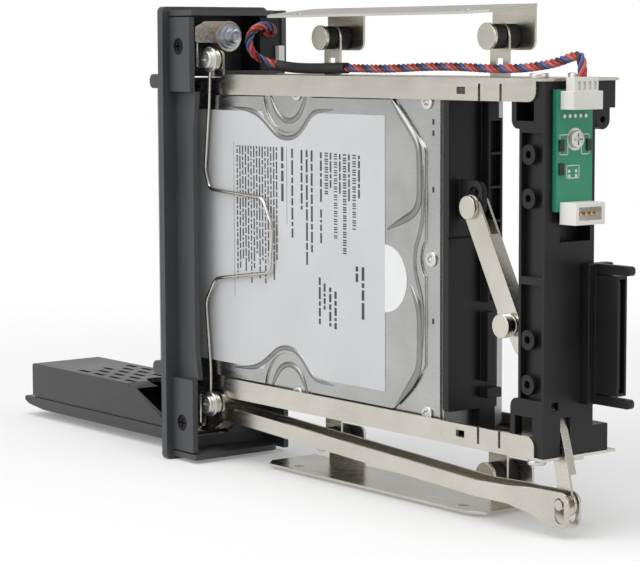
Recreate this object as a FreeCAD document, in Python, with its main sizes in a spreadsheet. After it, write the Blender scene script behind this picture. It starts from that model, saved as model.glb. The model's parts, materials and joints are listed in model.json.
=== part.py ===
import FreeCAD, Part
import math
import os
import re
import Sketcher
from FreeCAD import Placement, Rotation, Vector

# Hot-swap mobile rack for a 5.25 inch bay, standing on its side as it would on a bench.
# Rack coordinates: x runs from the bezel's front face to the rear, y from the bezel's near edge to the far
# side, z up from the bezel's lower edge. Every finished piece is then moved so that the part's origin is
# on the underside of the lower side plate, midway between its two bay screw holes.

SIZES = [
    # front bezel
    ("bezel_tall", 148.0), ("bezel_deep", 42.0), ("flange", 2.8), ("bezel_corner", 1.8),
    ("body_inset", 2.5),
    ("body_back", 14.4), ("bezel_wall", 1.8), ("end_margin", 1.2), ("far_margin", 0.8),
    ("end_wall_reach", 1.4),
    ("end_wall_short", 5.0), ("end_round", 4.0), ("strip_inset", 4.8), ("strip_back", 12.7),
    ("strip_flare", 12.0),
    ("strip_curve", 25.0), ("block_margin", 3.5), ("block_tall", 23.8), ("block_deep", 2.0),
    ("bezel_screw_end", 12.8), ("bezel_screw_back", 8.2), ("bezel_screw_r", 1.3), ("bezel_screw_long", 5.0),
    ("screw_boss_r", 2.0), ("sink_r", 2.7), ("sink_deep", 0.9), ("collar", 9.6), ("collar_wall", 0.8),
    ("collar_far_wall", 1.3), ("bay_gap", 0.7), ("stud_long", 4.9), ("stud_tall", 4.6), ("stud_thick", 2.0),
    ("upper_stud", 50.0), ("lower_stud", 43.9), ("hinge_lug_half", 4.0), ("window_side", 2.3),
    ("window_below", 9.0), ("window_above", 4.9),
    # drive
    ("drive_long", 147.0), ("drive_wide", 101.6), ("drive_thick", 26.1), ("drive_out", 21.5),
    ("drive_corner", 3.0),
    ("cover_thick", 1.4), ("cover_rise", 0.7), ("cover_inset", 1.0), ("rim_side", 5.2), ("rim_end", 7.0),
    ("rim_cut", 14.0), ("scallop_back", 72.9), ("scallop_in", 4.1), ("scallop_r", 12.2),
    ("end_scallop_r", 8.0),
    ("cover_screw_r", 2.3), ("cover_screw_edge", 4.6), ("cover_screw_end", 6.4), ("label_thick", 0.12),
    ("label_start", 16.0), ("label_back", 24.9), ("label_half", 40.8), ("label_gap", 1.6), ("seal_r", 10.0),
    ("seal_drop", 7.1), ("card_start", 60.0), ("card_stop", 15.0), ("card_edge", 5.0), ("card_well", 1.8),
    ("card_thick", 1.4), ("tail_step", 2.0), ("tail_long", 14.0),
    # cage: rails and the clearances round the drive
    ("rail_near", 11.5), ("steel", 0.8), ("drive_play", 0.2), ("side_play", 0.6), ("far_play", 0.1),
    ("fit_gap", 0.1),
    ("rail_start", 19.0), ("rail_short", 3.0), ("web_past", 0.5), ("rail_lip", 6.4), ("rail_round", 3.0),
    ("far_lip_trim", 1.0), ("lance_first", 1.5), ("lance_long", 15.8), ("lance_next", 21.3),
    ("lance_short", 4.8),
    ("lance_slit", 0.5), ("lance_out", 0.4), ("lance_land", 1.6), ("eyelet_back", 8.3),
    ("eyelet_long", 3.6),
    ("eyelet_tall", 2.0), ("tab_half", 3.2), ("tab_round", 2.3), ("upper_screw_x", 16.9),
    ("upper_screw_out", 4.7),
    ("lower_screw_x", 15.5), ("lower_screw_out", 2.5), ("tab_screw_r", 1.5), ("tab_flange_r", 4.05),
    ("tab_flange_thick", 1.0), ("tab_dome_r", 2.8), ("tab_dome_tall", 1.3), ("tab_tip", 0.9),
    ("rear_screw_r", 1.25),
    ("rear_head_r", 2.6), ("rear_head_tall", 1.4), ("rear_screw_long", 5.0), ("rear_screw_in", 4.0),
    ("rear_screw_near", 2.2), ("rear_screw_far", 3.0),
    # retaining wire
    ("wire_r", 0.55), ("coil_r", 2.9), ("coil_long", 2.3), ("leg_x", 8.0), ("leg_long", 10.5),
    ("leg_drop", 2.6),
    ("leg_stop", 0.9), ("wire_inset", 0.3),
    ("leg_bend", 1.6),
    # outer side plates and rubber mounts
    ("hole_front", 46.2), ("hole_pitch", 79.25), ("hole_y", 21.65), ("bay_hole_r", 1.6),
    ("plate_front", 32.7), ("plate_back", 137.5), ("plate_near", 16.8), ("plate_far", 38.4),
    ("plate_nose", 4.0),
    ("plate_gap", 1.0), ("plate_steel", 0.8), ("plate_chamfer", 6.0), ("plate_droop", 6.0),
    ("tab_corner", 2.5),
    ("mount_front", 50.4), ("mount_back", 128.4), ("mount_rise", 9.3), ("mount_tab_half", 9.0),
    ("tab_top", 4.0),
    ("disc_r", 3.9), ("disc_thick", 1.2), ("disc_y", 27.0), ("bush_r", 3.6), ("stem_y", 32.2),
    ("stem_half", 4.0),
    ("stem_slot_half", 1.5), ("stem_slot_low", 1.6), ("stem_slot_high", 5.2), ("mount_shank_r", 1.5),
    ("shank_past", 0.4),
    # dock carriage
    ("dock_gap", 0.9), ("dock_plate", 2.7), ("dock_wide", 18.7), ("dock_below", 43.5), ("dock_above", 47.0),
    ("runner_in", 12.0), ("runner_wide", 6.0), ("runner_gap", 0.3), ("column_in", 12.2),
    ("column_wide", 5.5),
    ("column_deep", 3.1), ("column_top", 40.5), ("column_low", 12.5), ("column_wall", 0.8),
    ("cell_count", 3.0),
    ("cell_tall", 8.9), ("pocket_deep", 2.2), ("neck_top", 45.0), ("neck_wide", 4.1), ("shin_top", 15.2),
    ("shin_low", 35.5), ("shin_wide", 3.1), ("foot_top", 37.4), ("foot_low", 40.3), ("seam_above", 6.4),
    ("seam_wide", 0.5), ("socket_front", 0.4), ("socket_in", 12.5), ("socket_deep", 5.5),
    ("socket_half", 21.0),
    ("socket_wall", 1.0), ("pin_out", 6.0), ("pin_lug", 2.0), ("pin_lug_r", 3.6),
    # eject linkage
    ("dock_travel", 11.7), ("upper_back", 17.2), ("lower_back", 18.4), ("lower_drop", 48.0),
    ("lower_pin_drop", 2.1),
    ("lever_in", 3.1), ("lever_deep", 4.2), ("lower_deep", 2.9), ("hub_r", 3.6), ("eye_r", 3.6),
    ("bore_wall", 1.1),
    ("arm_bulge", 2.5), ("arm_half", 2.6), ("jog_start", 7.0), ("jog_end", 14.0), ("web_start", 10.0),
    ("web_stop", 8.0), ("fork_long", 16.0), ("pivot_r", 2.0), ("dock_pin_r", 1.6), ("rod_pin_r", 1.5),
    ("crank_pin_r", 1.4), ("run_gap", 0.05), ("pin_gap", 0.35), ("side_gap", 0.3), ("pin_past", 0.3),
    ("rivet_r", 3.4), ("dock_rivet_tall", 1.5), ("pivot_rivet_tall", 2.9), ("shoulder_r", 2.8),
    ("shoulder_long", 1.1), ("rod_in", 2.2), ("rod_wide", 8.0), ("rod_tall", 4.8), ("kink_ahead", 32.5),
    ("kink_drop", 4.5), ("rod_front_rise", 6.0), ("floor_past", 14.0), ("fork_start", 15.0),
    ("fork_end", 20.0),
    ("fork_in", 1.9), ("fork_out", 0.9), ("fork_r", 3.4), ("yoke_tall", 10.8), ("yoke_drop", 1.8),
    ("yoke_back", 7.0),
    ("yoke_taper", 7.0), ("yoke_front", 2.5), ("yoke_gap", 0.6), ("yoke_end", 0.2), ("yoke_round", 2.0),
    # rear carrier
    ("pivot_ahead", 6.1), ("carrier_deep", 10.3), ("block_ahead", 3.1), ("carrier_wide", 18.7),
    ("upper_block", 13.0),
    ("lower_block", 15.7), ("block_curve", 2.5), ("upper_ear", 26.4), ("lower_ear", 24.5),
    ("ear_tall", 7.5),
    ("ear_back", 4.0), ("carrier_rim", 1.0), ("cell_deep", 2.0), ("divider_low", 4.0),
    ("divider_thick", 2.2),
    ("ring_back", 3.4), ("ring_r", 2.77), ("ring_hole_r", 1.1), ("ring_sink", 0.2), ("ring_top", 31.5),
    ("ring_high", 19.5), ("ring_low", 19.3), ("ring_foot", 31.7), ("window_back", 1.9),
    ("window_long", 7.0),
    ("window_deep", 6.0), ("window_near", 5.6), ("window_tall", 5.2), ("rear_wall", 0.9),
    ("channel_gap", 0.4),
    ("channel_above", 6.0), ("slot_top", 40.7), ("port_in", 5.6), ("port_wide", 11.5), ("port_tall", 8.5),
    ("port_deep", 5.0), ("port_slit", 1.6), ("pivot_lug", 5.0), ("pivot_lug_r", 5.0), ("lobe_r", 2.7),
    ("lobe_hole_r", 0.9), ("lobe_out", 2.9), ("lobe_down", 10.7), ("lobe_thick", 4.0), ("key_in", 2.8),
    ("key_wide", 2.8), ("key_tall", 2.4), ("key_down", 38.6),
    # rear board, connector and lead
    ("board_thick", 1.6), ("board_in", 2.7), ("board_wide", 13.4), ("board_rise", 49.2),
    ("board_tall", 33.0),
    ("board_screw_in", 6.9), ("board_screw_down", 13.5), ("board_screw_r", 1.25), ("board_head_r", 2.4),
    ("board_head_tall", 1.3), ("chip_wide", 1.6), ("chip_tall", 3.2), ("chip_thick", 0.6),
    ("header_wall", 0.8),
    ("header_floor", 1.2), ("header_in", 1.2), ("header_wide", 11.0), ("header_deep", 5.2),
    ("header_tall", 5.0),
    ("header_below", 0.4), ("spare_deep", 6.4), ("spare_tall", 6.0), ("spare_under", 3.4),
    ("plug_gap", 0.2),
    ("lead_plug_above", 3.4), ("socket_rise", 1.5), ("socket_tall", 39.0),
    ("plug_in", 13.9), ("plug_wide", 9.3), ("plug_base", 3.0), ("plug_long", 11.5), ("plug_shell_in", 2.6),
    ("plug_shell_wide", 3.6), ("plug_end", 3.0), ("plug_skin", 0.8), ("tongue_thick", 0.9),
    ("tongue_end", 1.0),
    ("post_long", 16.0), ("post_wide", 2.2), ("post_tall", 2.6), ("lead_r", 1.5),
    # door, lying open in front of the bezel
    ("hinge_out", 6.0), ("hinge_rise", 12.3), ("hinge_over", 20.9), ("hinge_r", 1.5), ("crank_side", 8.6),
    ("door_near", 11.0), ("door_over", 0.3), ("panel_thick", 4.0), ("panel_gap", 0.8), ("panel_nose", 13.0),
    ("panel_lip", 3.0), ("panel_lift", 2.2), ("panel_round", 0.8), ("panel_stop", 1.0),
    ("housing_tall", 11.7),
    ("housing_wall", 1.6), ("door_long", 107.4), ("housing_long", 101.8), ("housing_round", 1.2),
    ("slant_top", 37.8),
    ("slant_mid", 18.3), ("slant_low", 14.0), ("slant_rise", 3.2), ("slant_curve", 15.0), ("seat_in", 0.6),
    ("thumb_r", 5.0), ("vent_start", 26.8), ("vent_pitch", 10.0), ("vent_stagger", 5.0), ("vent_long", 6.4),
    ("vent_wide", 2.0), ("vent_edge", 3.0), ("vent_row", 5.0), ("arm_thick", 2.0), ("arm_wide", 7.0),
    ("far_arm_thick", 1.2), ("arm_root", 0.4), ("near_arm_gap", 0.2), ("crank_steel", 0.9),
    ("crank_back", 3.0),
    ("crank_front", 4.6), ("crank_eye_r", 2.8),
    # key lock and indicator
    ("lock_y", 20.1), ("lock_lift", 2.8), ("lock_r", 4.0), ("lock_boss_wall", 1.2), ("lock_nut_r", 4.9),
    ("lock_nut_thick", 2.2), ("lock_nut_back", 10.0), ("lock_out", 0.8), ("lock_past", 0.4),
    ("keyway_half", 2.4),
    ("keyway_wide", 1.0), ("keyway_deep", 3.8), ("cam_gap", 0.6), ("cam_thick", 1.0), ("cam_long", 13.2),
    ("cam_wide", 7.0), ("cam_lift", 1.4), ("cam_slope", 1.9), ("cam_washer_r", 4.0),
    ("cam_washer_thick", 1.0),
    ("cam_nub_r", 2.6), ("cam_nub_long", 3.0), ("cam_slot_gap", 0.4), ("indicator_wide", 8.4),
    ("indicator_short", 0.6), ("indicator_top", 3.2), ("card_reach", 2.0), ("card_wide", 2.2),
    ("card_tall", 8.0),
]

doc = FreeCAD.newDocument("mobile_rack")
sheet = doc.addObject("Spreadsheet::Sheet", "Sizes")
for row, (alias, number) in enumerate(SIZES, 1):
    sheet.set("A%d" % row, alias)
    sheet.set("B%d" % row, str(number))
    sheet.setAlias("B%d" % row, alias)
doc.recompute()

ALIAS = re.compile(r"\b(" + "|".join(alias for alias, number in SIZES) + r")\b")
PIECES = []


def full(expression):
    return ALIAS.sub(r"Sizes.\1", str(expression))


def value(expression):
    return float(sheet.evalExpression(full(expression)))


def bind(obj, prop, expression):
    obj.setExpression(prop, full(expression))


# Places that several pieces share, as expressions of the sizes above.
MID = "(bezel_tall/2)"
WEB_IN = "(drive_wide/2 + side_play)"
WEB_OUT = f"({WEB_IN} + steel)"
BAY_HALF = "(drive_wide/2 + bay_gap)"
RAIL_IN = "(rail_near + steel)"
DRIVE_NEAR = f"({RAIL_IN} + drive_play)"
DRIVE_FAR = f"({DRIVE_NEAR} + drive_thick)"
RAIL_FAR = f"({DRIVE_FAR} + far_play + steel)"
BAY_NEAR = f"({DRIVE_NEAR} - bay_gap)"
REAR = "(drive_long - drive_out)"
DOCK_FRONT = f"({REAR} + dock_gap)"
DOCK_BACK = f"({DOCK_FRONT} + dock_plate)"
UPPER_X = f"({DOCK_BACK} + pin_out)"
PIVOT_X = f"({UPPER_X} + upper_back)"
LOWER_X = f"({PIVOT_X} + lower_back)"
CARRIER_FRONT = f"({PIVOT_X} + pivot_ahead)"
CARRIER_BACK = f"({CARRIER_FRONT} + carrier_deep)"
CARRIER_BLOCK = f"({CARRIER_FRONT} - block_ahead)"
CARRIER_FAR = f"({RAIL_IN} + carrier_wide)"
RAIL_END = f"({CARRIER_BACK} - rail_short)"
MOUNT_HALF = f"({MID} - plate_gap - mount_rise)"

# The linkage hangs on the middle of the room between the lower side plate and the lower rail.
ROOM_MID = f"((plate_gap + plate_steel + {MID} - {WEB_OUT})/2)"
LOWER_Z = f"({ROOM_MID} - lower_pin_drop)"
PIVOT_Z = f"({LOWER_Z} + lower_drop)"
KINK_X = f"({LOWER_X} - kink_ahead)"
KINK_Z = f"({ROOM_MID} - kink_drop)"
HINGE_X = "(-hinge_out)"
HINGE_Z = f"({ROOM_MID} + hinge_rise)"
CRANK_X = "(crank_side - hinge_out)"
CRANK_Z = f"({HINGE_Z} - crank_side)"

# A quarter turn of the door draws the rod back by two crank sides, which turns the lever by this angle.
# The upper arm's height then follows from the dock's travel.
LOWER_ARM = "sqrt(lower_back^2 + lower_drop^2)"
TURN = f"(asin(lower_back/{LOWER_ARM}) - asin((lower_back - 2*crank_side)/{LOWER_ARM}))"
UPPER_RISE = f"((dock_travel - upper_back*(1 - cos({TURN})))/sin({TURN}))"
UPPER_Z = f"({PIVOT_Z} + {UPPER_RISE})"
UPPER_LIFT = f"({UPPER_RISE}*cos({TURN}) + upper_back*sin({TURN}) - {UPPER_RISE})"
LOWER_FALL = f"(lower_drop*cos({TURN}) + lower_back*sin({TURN}) - lower_drop)"

LEVER_NEAR = f"({RAIL_IN} + lever_in)"
LEVER_FAR = f"({LEVER_NEAR} + lever_deep)"
ROD_NEAR = f"({RAIL_IN} + rod_in)"
ROD_FAR = f"({ROD_NEAR} + rod_wide)"
FORK_NEAR = f"({ROD_NEAR} + fork_in)"
FORK_FAR = f"({ROD_FAR} - fork_out)"
FOOT_NEAR = f"(({FORK_NEAR} + {FORK_FAR})/2)"
FOOT_FAR = f"({FOOT_NEAR} + lower_deep)"

DOOR_FAR = f"({DRIVE_FAR} + door_over)"
FAR_ARM = f"({DOOR_FAR} + side_gap)"
COLLAR_FAR = f"({FAR_ARM} + far_arm_thick + side_gap)"
NEAR_ARM = "(door_near - near_arm_gap - arm_thick)"
DOOR_LOW = f"({HINGE_Z} - hinge_over)"
PANEL_TOP = f"({DOOR_LOW} + panel_thick)"
HOUSING_LOW = f"({PANEL_TOP} + panel_gap)"
HOUSING_TOP = f"({HOUSING_LOW} + housing_tall)"

LOCK_Z = f"({MID} + ({WEB_OUT} + {MID} - end_margin - bezel_wall)/2 + lock_lift)"
CAM_FACE = "(lock_nut_back + cam_gap)"
BOARD_FACE = f"({CARRIER_BACK} + board_thick)"
BOARD_NEAR = f"({RAIL_IN} + board_in)"
BOARD_TOP = f"({MID} + board_rise)"
BOARD_LOW = f"({BOARD_TOP} - board_tall)"
SIDES = ((1, "upper"), (-1, "lower"))
REAR_SCREWS = ("(rail_near + rear_screw_near)", f"({CARRIER_FAR} - rear_screw_far)")


def box(name, x, y, z):
    """A block between pairs of places along x, y and z."""
    obj = doc.addObject("Part::Box", name)
    for prop, axis, (low, high) in (("Length", "x", x), ("Width", "y", y), ("Height", "z", z)):
        bind(obj, prop, "(%s) - (%s)" % (high, low))
        bind(obj, "Placement.Base." + axis, low)
    return obj


TURNS = {
    "x": Rotation(Vector(0, 1, 0), 90),
    "y": Rotation(Vector(1, 0, 0), -90),
    "z": Rotation(),
}


def rod(name, axis, centre, radius, span):
    """A round bar along one axis; centre gives its place on the other two axes, in x, y, z order."""
    obj = doc.addObject("Part::Cylinder", name)
    obj.Placement = Placement(Vector(), TURNS[axis])
    places = list(centre)
    places.insert("xyz".index(axis), span[0])
    for letter, place in zip("xyz", places):
        bind(obj, "Placement.Base." + letter, place)
    bind(obj, "Radius", radius)
    bind(obj, "Height", "(%s) - (%s)" % (span[1], span[0]))
    return obj


def fuse(name, *objects):
    obj = doc.addObject("Part::MultiFuse", name)
    obj.Shapes = list(objects)
    obj.Refine = True
    return obj


def cut(name, base, *tools):
    obj = doc.addObject("Part::Cut", name)
    obj.Base = base
    obj.Tool = tools[0] if len(tools) == 1 else fuse(name + "_tools", *tools)
    return obj


def common(name, first, second):
    obj = doc.addObject("Part::Common", name)
    obj.Base = first
    obj.Tool = second
    return obj


def plate(name, role, points, span, rounds=()):
    """A sketched outline padded along the plane's normal; rounds pairs a corner's number with a radius."""
    body = doc.addObject("PartDesign::Body", name)
    sketch = body.newObject("Sketcher::SketchObject", name + "_outline")
    plane = [feature for feature in body.Origin.OriginFeatures if feature.Role == role][0]
    sketch.AttachmentSupport = (plane, [""])
    sketch.MapMode = "FlatFace"
    backwards = role == "XZ_Plane"
    bind(sketch, "AttachmentOffset.Base.z", ("-(%s)" if backwards else "%s") % span[0])
    spots = [Vector(value(u), value(v), 0) for u, v in points]
    count = len(spots)
    for index in range(count):
        sketch.addGeometry(Part.LineSegment(spots[index], spots[(index + 1) % count]), False)
    for index in range(count):
        sketch.addConstraint(Sketcher.Constraint("Coincident", index, 2, (index + 1) % count, 1))
    for index, pair in enumerate(points):
        for kind, place in zip(("DistanceX", "DistanceY"), pair):
            number = sketch.addConstraint(Sketcher.Constraint(kind, -1, 1, index, 1, value(place)))
            bind(sketch, "Constraints[%d]" % number, place)
    pad = body.newObject("PartDesign::Pad", name + "_pad")
    pad.Profile = sketch
    pad.Reversed = backwards
    bind(pad, "Length", "(%s) - (%s)" % (span[1], span[0]))
    body.Tip = pad
    for corner, radius in rounds:
        doc.recompute()
        base = body.Tip
        edge = nearest_edge(base.Shape, role, spots[corner])
        round_off = body.newObject("PartDesign::Fillet", "%s_round_%d" % (name, corner))
        round_off.Base = (base, [edge])
        bind(round_off, "Radius", radius)
        body.Tip = round_off
    return body


def nearest_edge(shape, role, spot):
    """The name of the edge that runs along the pad at one corner of its outline."""
    axes = {"XY_Plane": "xyz", "XZ_Plane": "xzy", "YZ_Plane": "yzx"}[role]
    best = None
    for number, edge in enumerate(shape.Edges, 1):
        ends = [vertex.Point for vertex in edge.Vertexes]
        if len(ends) != 2:
            continue
        along = abs(getattr(ends[0], axes[2]) - getattr(ends[1], axes[2]))
        if along < 0.9 * edge.Length:
            continue
        middle = (ends[0] + ends[1]) * 0.5
        miss = math.hypot(getattr(middle, axes[0]) - spot.x, getattr(middle, axes[1]) - spot.y)
        if best is None or miss < best[0]:
            best = (miss, "Edge%d" % number)
    return best[1]


def side_span(side, inner, outer):
    """Two heights, lowest first, at the given distances above (+1) or below (-1) the bezel's middle."""
    if side > 0:
        return "%s + (%s)" % (MID, inner), "%s + (%s)" % (MID, outer)
    return "%s - (%s)" % (MID, outer), "%s - (%s)" % (MID, inner)


def side_place(side, distance):
    return "(%s %s (%s))" % (MID, "+" if side > 0 else "-", distance)


def both_sides(half):
    return side_span(1, "-(%s)" % half, half)


def about(centre, half):
    return "(%s) - (%s)" % (centre, half), "(%s) + (%s)" % (centre, half)


def onward(start, long):
    return start, "(%s) + (%s)" % (start, long)


def finish(label, *objects):
    """One named sub-part, moved from rack coordinates to the part's origin."""
    piece = doc.addObject("Part::Compound", label)
    piece.Links = list(objects)
    piece.Label = label
    bind(piece, "Placement.Base.x", "-(hole_front + hole_pitch/2)")
    bind(piece, "Placement.Base.y", "-hole_y")
    bind(piece, "Placement.Base.z", "-plate_gap")
    PIECES.append(piece)
    return piece


def solid(name, shape):
    """A document object that holds a shape worked out in code."""
    obj = doc.addObject("Part::Feature", name)
    obj.Shape = shape
    return obj


def spot(x, z):
    return value(x), value(z)


def link_shape(start, end, radius_start, radius_end, y_span):
    """A flat link in the xz plane: two round ends joined by straight sides."""
    (x0, z0), (x1, z1) = start, end
    low, high = y_span
    length = math.hypot(x1 - x0, z1 - z0)
    across = Vector(-(z1 - z0) / length, 0, (x1 - x0) / length)
    first = Vector(x0, low, z0)
    last = Vector(x1, low, z1)
    ring = [first + across * radius_start, last + across * radius_end,
            last - across * radius_end, first - across * radius_start]
    side = Part.Face(Part.makePolygon(ring + ring[:1])).extrude(Vector(0, high - low, 0))
    ends = [Part.makeCylinder(radius, high - low, Vector(x, low, z), Vector(0, 1, 0))
            for radius, x, z in ((radius_start, x0, z0), (radius_end, x1, z1))]
    return side.multiFuse(ends).removeSplitter()


def slot_tool(name, centre, drop, radius, span):
    """The round-ended cut of a slot that runs straight down (or up) from a pin's place."""
    x, z = centre
    low = "%s - (%s)" % (z, drop)
    ends = [rod("%s_%d" % (name, number), "y", (x, place), radius, span) for number,
            place in enumerate((z, low))]
    return ends + [box(name + "_run", about(x, radius), span, (low, z))]


def bent_path(points, radii):
    """Straight runs joined by tangent arcs, one radius for each inner point."""
    edges = []
    here = points[0]
    for before, corner, after, radius in zip(points, points[1:], points[2:], radii):
        back = (before - corner).normalize()
        ahead = (after - corner).normalize()
        half = back.getAngle(ahead) / 2
        reach = radius / math.tan(half)
        start = corner + back * reach
        end = corner + ahead * reach
        centre = corner + (back + ahead).normalize() * (radius / math.sin(half))
        middle = centre + (corner - centre).normalize() * radius
        if (start - here).Length > 1e-6:
            edges.append(Part.LineSegment(here, start).toShape())
        edges.append(Part.Arc(start, middle, end).toShape())
        here = end
    edges.append(Part.LineSegment(here, points[-1]).toShape())
    return Part.Wire(edges)


def round_sweep(path, radius):
    """A round bar swept along a path of runs and arcs."""
    first = path.Edges[0]
    start = first.valueAt(first.FirstParameter)
    ring = Part.Wire(Part.makeCircle(radius, start, first.tangentAt(first.FirstParameter)))
    return path.makePipeShell([ring], True, True)


# Front bezel

def bezel_end(side, word):
    """One end of the bezel's hollow back: near wall, end wall, far wall, shelf and screw boss."""
    half = f"({MID} - block_margin)"
    low, high = side_span(side, f"{half} - block_tall", half)
    wall = plate(f"bezel_{word}_block", "XZ_Plane",
                 [("flange", low), ("body_back", low), ("body_back", high), ("flange", high)],
                 onward("body_inset", "block_deep"))
    reach = "(body_back + end_wall_reach)"
    far = "(bezel_deep - end_wall_short)"
    end = plate(f"bezel_{word}_end", "XY_Plane",
                [("flange", "body_inset"), (reach, "body_inset"), (reach, far), ("flange", far)],
                side_span(side, f"{MID} - end_margin - bezel_wall", f"{MID} - end_margin"),
                [(2, "end_round")])
    outer = "(bezel_deep - far_margin)"
    back = box(f"bezel_{word}_far", ("flange", "body_back"), (f"{outer} - bezel_wall", outer),
               side_span(side, f"{BAY_HALF} + bezel_wall", f"{MID} - end_margin"))
    shelf = box(f"bezel_{word}_shelf", ("flange", "body_back - steel"), (RAIL_IN, outer),
                side_span(side, BAY_HALF, f"{BAY_HALF} + bezel_wall"))
    boss = rod(f"bezel_{word}_boss", "y",
               ("bezel_screw_back", side_place(side, f"{MID} - bezel_screw_end")),
               "screw_boss_r", onward("body_inset", "bezel_screw_long"))
    return [wall, end, back, shelf, boss]


def bezel_front():
    """Flange, the near strip between the two ends, and two round-ended studs on the flange's front."""
    flange = plate("bezel_flange", "YZ_Plane",
                   [("0", "0"), ("bezel_deep", "0"), ("bezel_deep", "bezel_tall"), ("0", "bezel_tall")],
                   ("0", "flange"), [(corner, "bezel_corner") for corner in range(4)])
    low, high = both_sides(f"{MID} - block_margin - block_tall")
    strip = plate("bezel_strip", "XZ_Plane",
                  [("flange", low), ("body_back", low), ("strip_back", f"{low} + strip_flare"),
                   ("strip_back", f"{high} - strip_flare"), ("body_back", high), ("flange", high)],
                  onward("strip_inset", "bezel_wall"), [(2, "strip_curve"), (3, "strip_curve")])
    studs = []
    for name, centre in (("upper", f"{MID} + upper_stud"), ("lower", f"{MID} - lower_stud")):
        foot, top = about(centre, "stud_tall/2")
        studs.append(plate(f"bezel_{name}_stud", "XZ_Plane",
                           [("flange/2", foot), ("-stud_long", foot), ("-stud_long", top),
                            ("flange/2", top)],
                           ("0", "stud_thick"), [(1, "stud_tall*0.45"), (2, "stud_tall*0.45")]))
    return [flange, strip] + studs


def bezel_collar():
    """The short frame in front of the flange that the drive's nose sits in."""
    out = ("-collar", "flange/2")
    near = (f"{BAY_NEAR} - collar_wall", BAY_NEAR)
    outer = f"({COLLAR_FAR} + collar_far_wall)"
    tall = both_sides(f"{BAY_HALF} + bezel_wall")
    top = side_span(1, BAY_HALF, f"{BAY_HALF} + bezel_wall")
    low = side_span(-1, BAY_HALF, f"{BAY_HALF} + bezel_wall")
    lug = (f"{NEAR_ARM} - side_gap - arm_thick", f"{NEAR_ARM} - side_gap")
    return [box("collar_near", out, near, tall), box("collar_top", out, (near[0], outer), top),
            box("collar_low", out, (near[0], DOOR_FAR), low),
            box("collar_far", out, (COLLAR_FAR, outer), tall),
            box("lug_near", (HINGE_X, "flange/2"), lug, about(HINGE_Z, "hinge_lug_half")),
            rod("lug_near_round", "y", (HINGE_X, HINGE_Z), "hinge_lug_half", lug)]


def make_bezel():
    boss = rod("lock_boss", "x", ("lock_y", LOCK_Z), "lock_r + lock_boss_wall",
               ("flange", "lock_nut_back - lock_nut_thick"))
    ends = bezel_end(1, "upper") + bezel_end(-1, "lower")
    shell = fuse("bezel_shell", boss, *(bezel_front() + ends + bezel_collar()))
    through = ("-2*collar", "2*body_back")
    tools = [box("bezel_bay", through, (BAY_NEAR, COLLAR_FAR), both_sides(BAY_HALF)),
             box("bezel_rod_window", through, (f"{ROD_NEAR} - window_side", f"{ROD_FAR} + window_side"),
                 (f"{CRANK_Z} - window_below", f"{CRANK_Z} + window_above")),
             rod("bezel_lock_hole", "x", ("lock_y", LOCK_Z), "lock_r", ("-flange", "body_back")),
             rod("bezel_nut_room", "x", ("lock_y", LOCK_Z), "lock_nut_r + side_gap",
                 ("lock_nut_back - lock_nut_thick", "2*body_back")),
             box("bezel_cam_slot", (f"{CAM_FACE} - cam_slot_gap", f"{CAM_FACE} + cam_thick + cam_slot_gap"),
                 (f"{RAIL_IN} - cam_slot_gap", "lock_y - cam_lift + cam_wide/2 + cam_slot_gap"),
                 side_span(1, BAY_HALF, f"{BAY_HALF} + 2*bezel_wall")),
             rod("bezel_pin_hole", "y", (HINGE_X, HINGE_Z), "hinge_r", ("0", "2*bezel_deep"))]
    for side, word in SIDES:
        centre = ("bezel_screw_back", side_place(side, f"{MID} - bezel_screw_end"))
        tools.append(rod(f"bezel_{word}_screw_hole", "y", centre, "bezel_screw_r",
                         ("0", "body_inset + bezel_screw_long")))
        tools.append(rod(f"bezel_{word}_sink", "y", centre, "sink_r", ("0", "body_inset + sink_deep")))
    finish("front_bezel", cut("bezel_cut", shell, *tools))


def make_bezel_screws():
    screws = []
    for side, word in SIDES:
        centre = ("bezel_screw_back", side_place(side, f"{MID} - bezel_screw_end"))
        head = rod(f"bezel_{word}_head", "y", centre, "sink_r",
                   ("body_inset + fit_gap", "body_inset + sink_deep"))
        shank = rod(f"bezel_{word}_shank", "y", centre, "bezel_screw_r",
                    ("body_inset + sink_deep/2", "body_inset + bezel_screw_long"))
        screws.append(fuse(f"bezel_{word}_screw", head, shank))
    finish("bezel_screws", *screws)


def make_hinge_pins():
    near = rod("hinge_near", "y", (HINGE_X, HINGE_Z), "hinge_r",
               (f"{NEAR_ARM} - side_gap - arm_thick", "door_near - fit_gap"))
    far = rod("hinge_far", "y", (HINGE_X, HINGE_Z), "hinge_r",
              (f"{DOOR_FAR} + 2*fit_gap", f"{COLLAR_FAR} + collar_far_wall"))
    finish("hinge_pins", near, far)


# Cage: rails, wire, side plates, mounts

def rail_lances(word, side):
    """Spring straps pressed out of the near lip beside the dock, the slits that free them and an eyelet."""
    straps = []
    slits = []
    lip = side_span(side, f"{WEB_OUT} - rail_lip", f"{WEB_OUT} - lance_land")
    deep = side_span(side, f"{WEB_OUT} - 2*rail_lip", f"{WEB_OUT} - lance_land")
    through = about("rail_near", "2*steel")
    for name, start, long in (("long", "lance_first", "lance_long"),
                              ("short", "lance_next", "lance_short")):
        begin = f"({REAR} + {start})"
        end = f"({begin} + {long})"
        straps.append(box(f"{word}_{name}_strap", (begin, end), onward("rail_near - lance_out", "steel"),
                          lip))
        for number, place in enumerate((begin, end)):
            slits.append(box(f"{word}_{name}_slit_{number}", onward(place, "lance_slit"), through, deep))
    eyelet = side_span(side, f"{WEB_OUT} - lance_land - 1.5*eyelet_tall",
                       f"{WEB_OUT} - lance_land - eyelet_tall/2")
    slits.append(box(f"{word}_eyelet", onward(f"{REAR} + eyelet_back", "eyelet_long"), through, eyelet))
    return straps, slits


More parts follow.
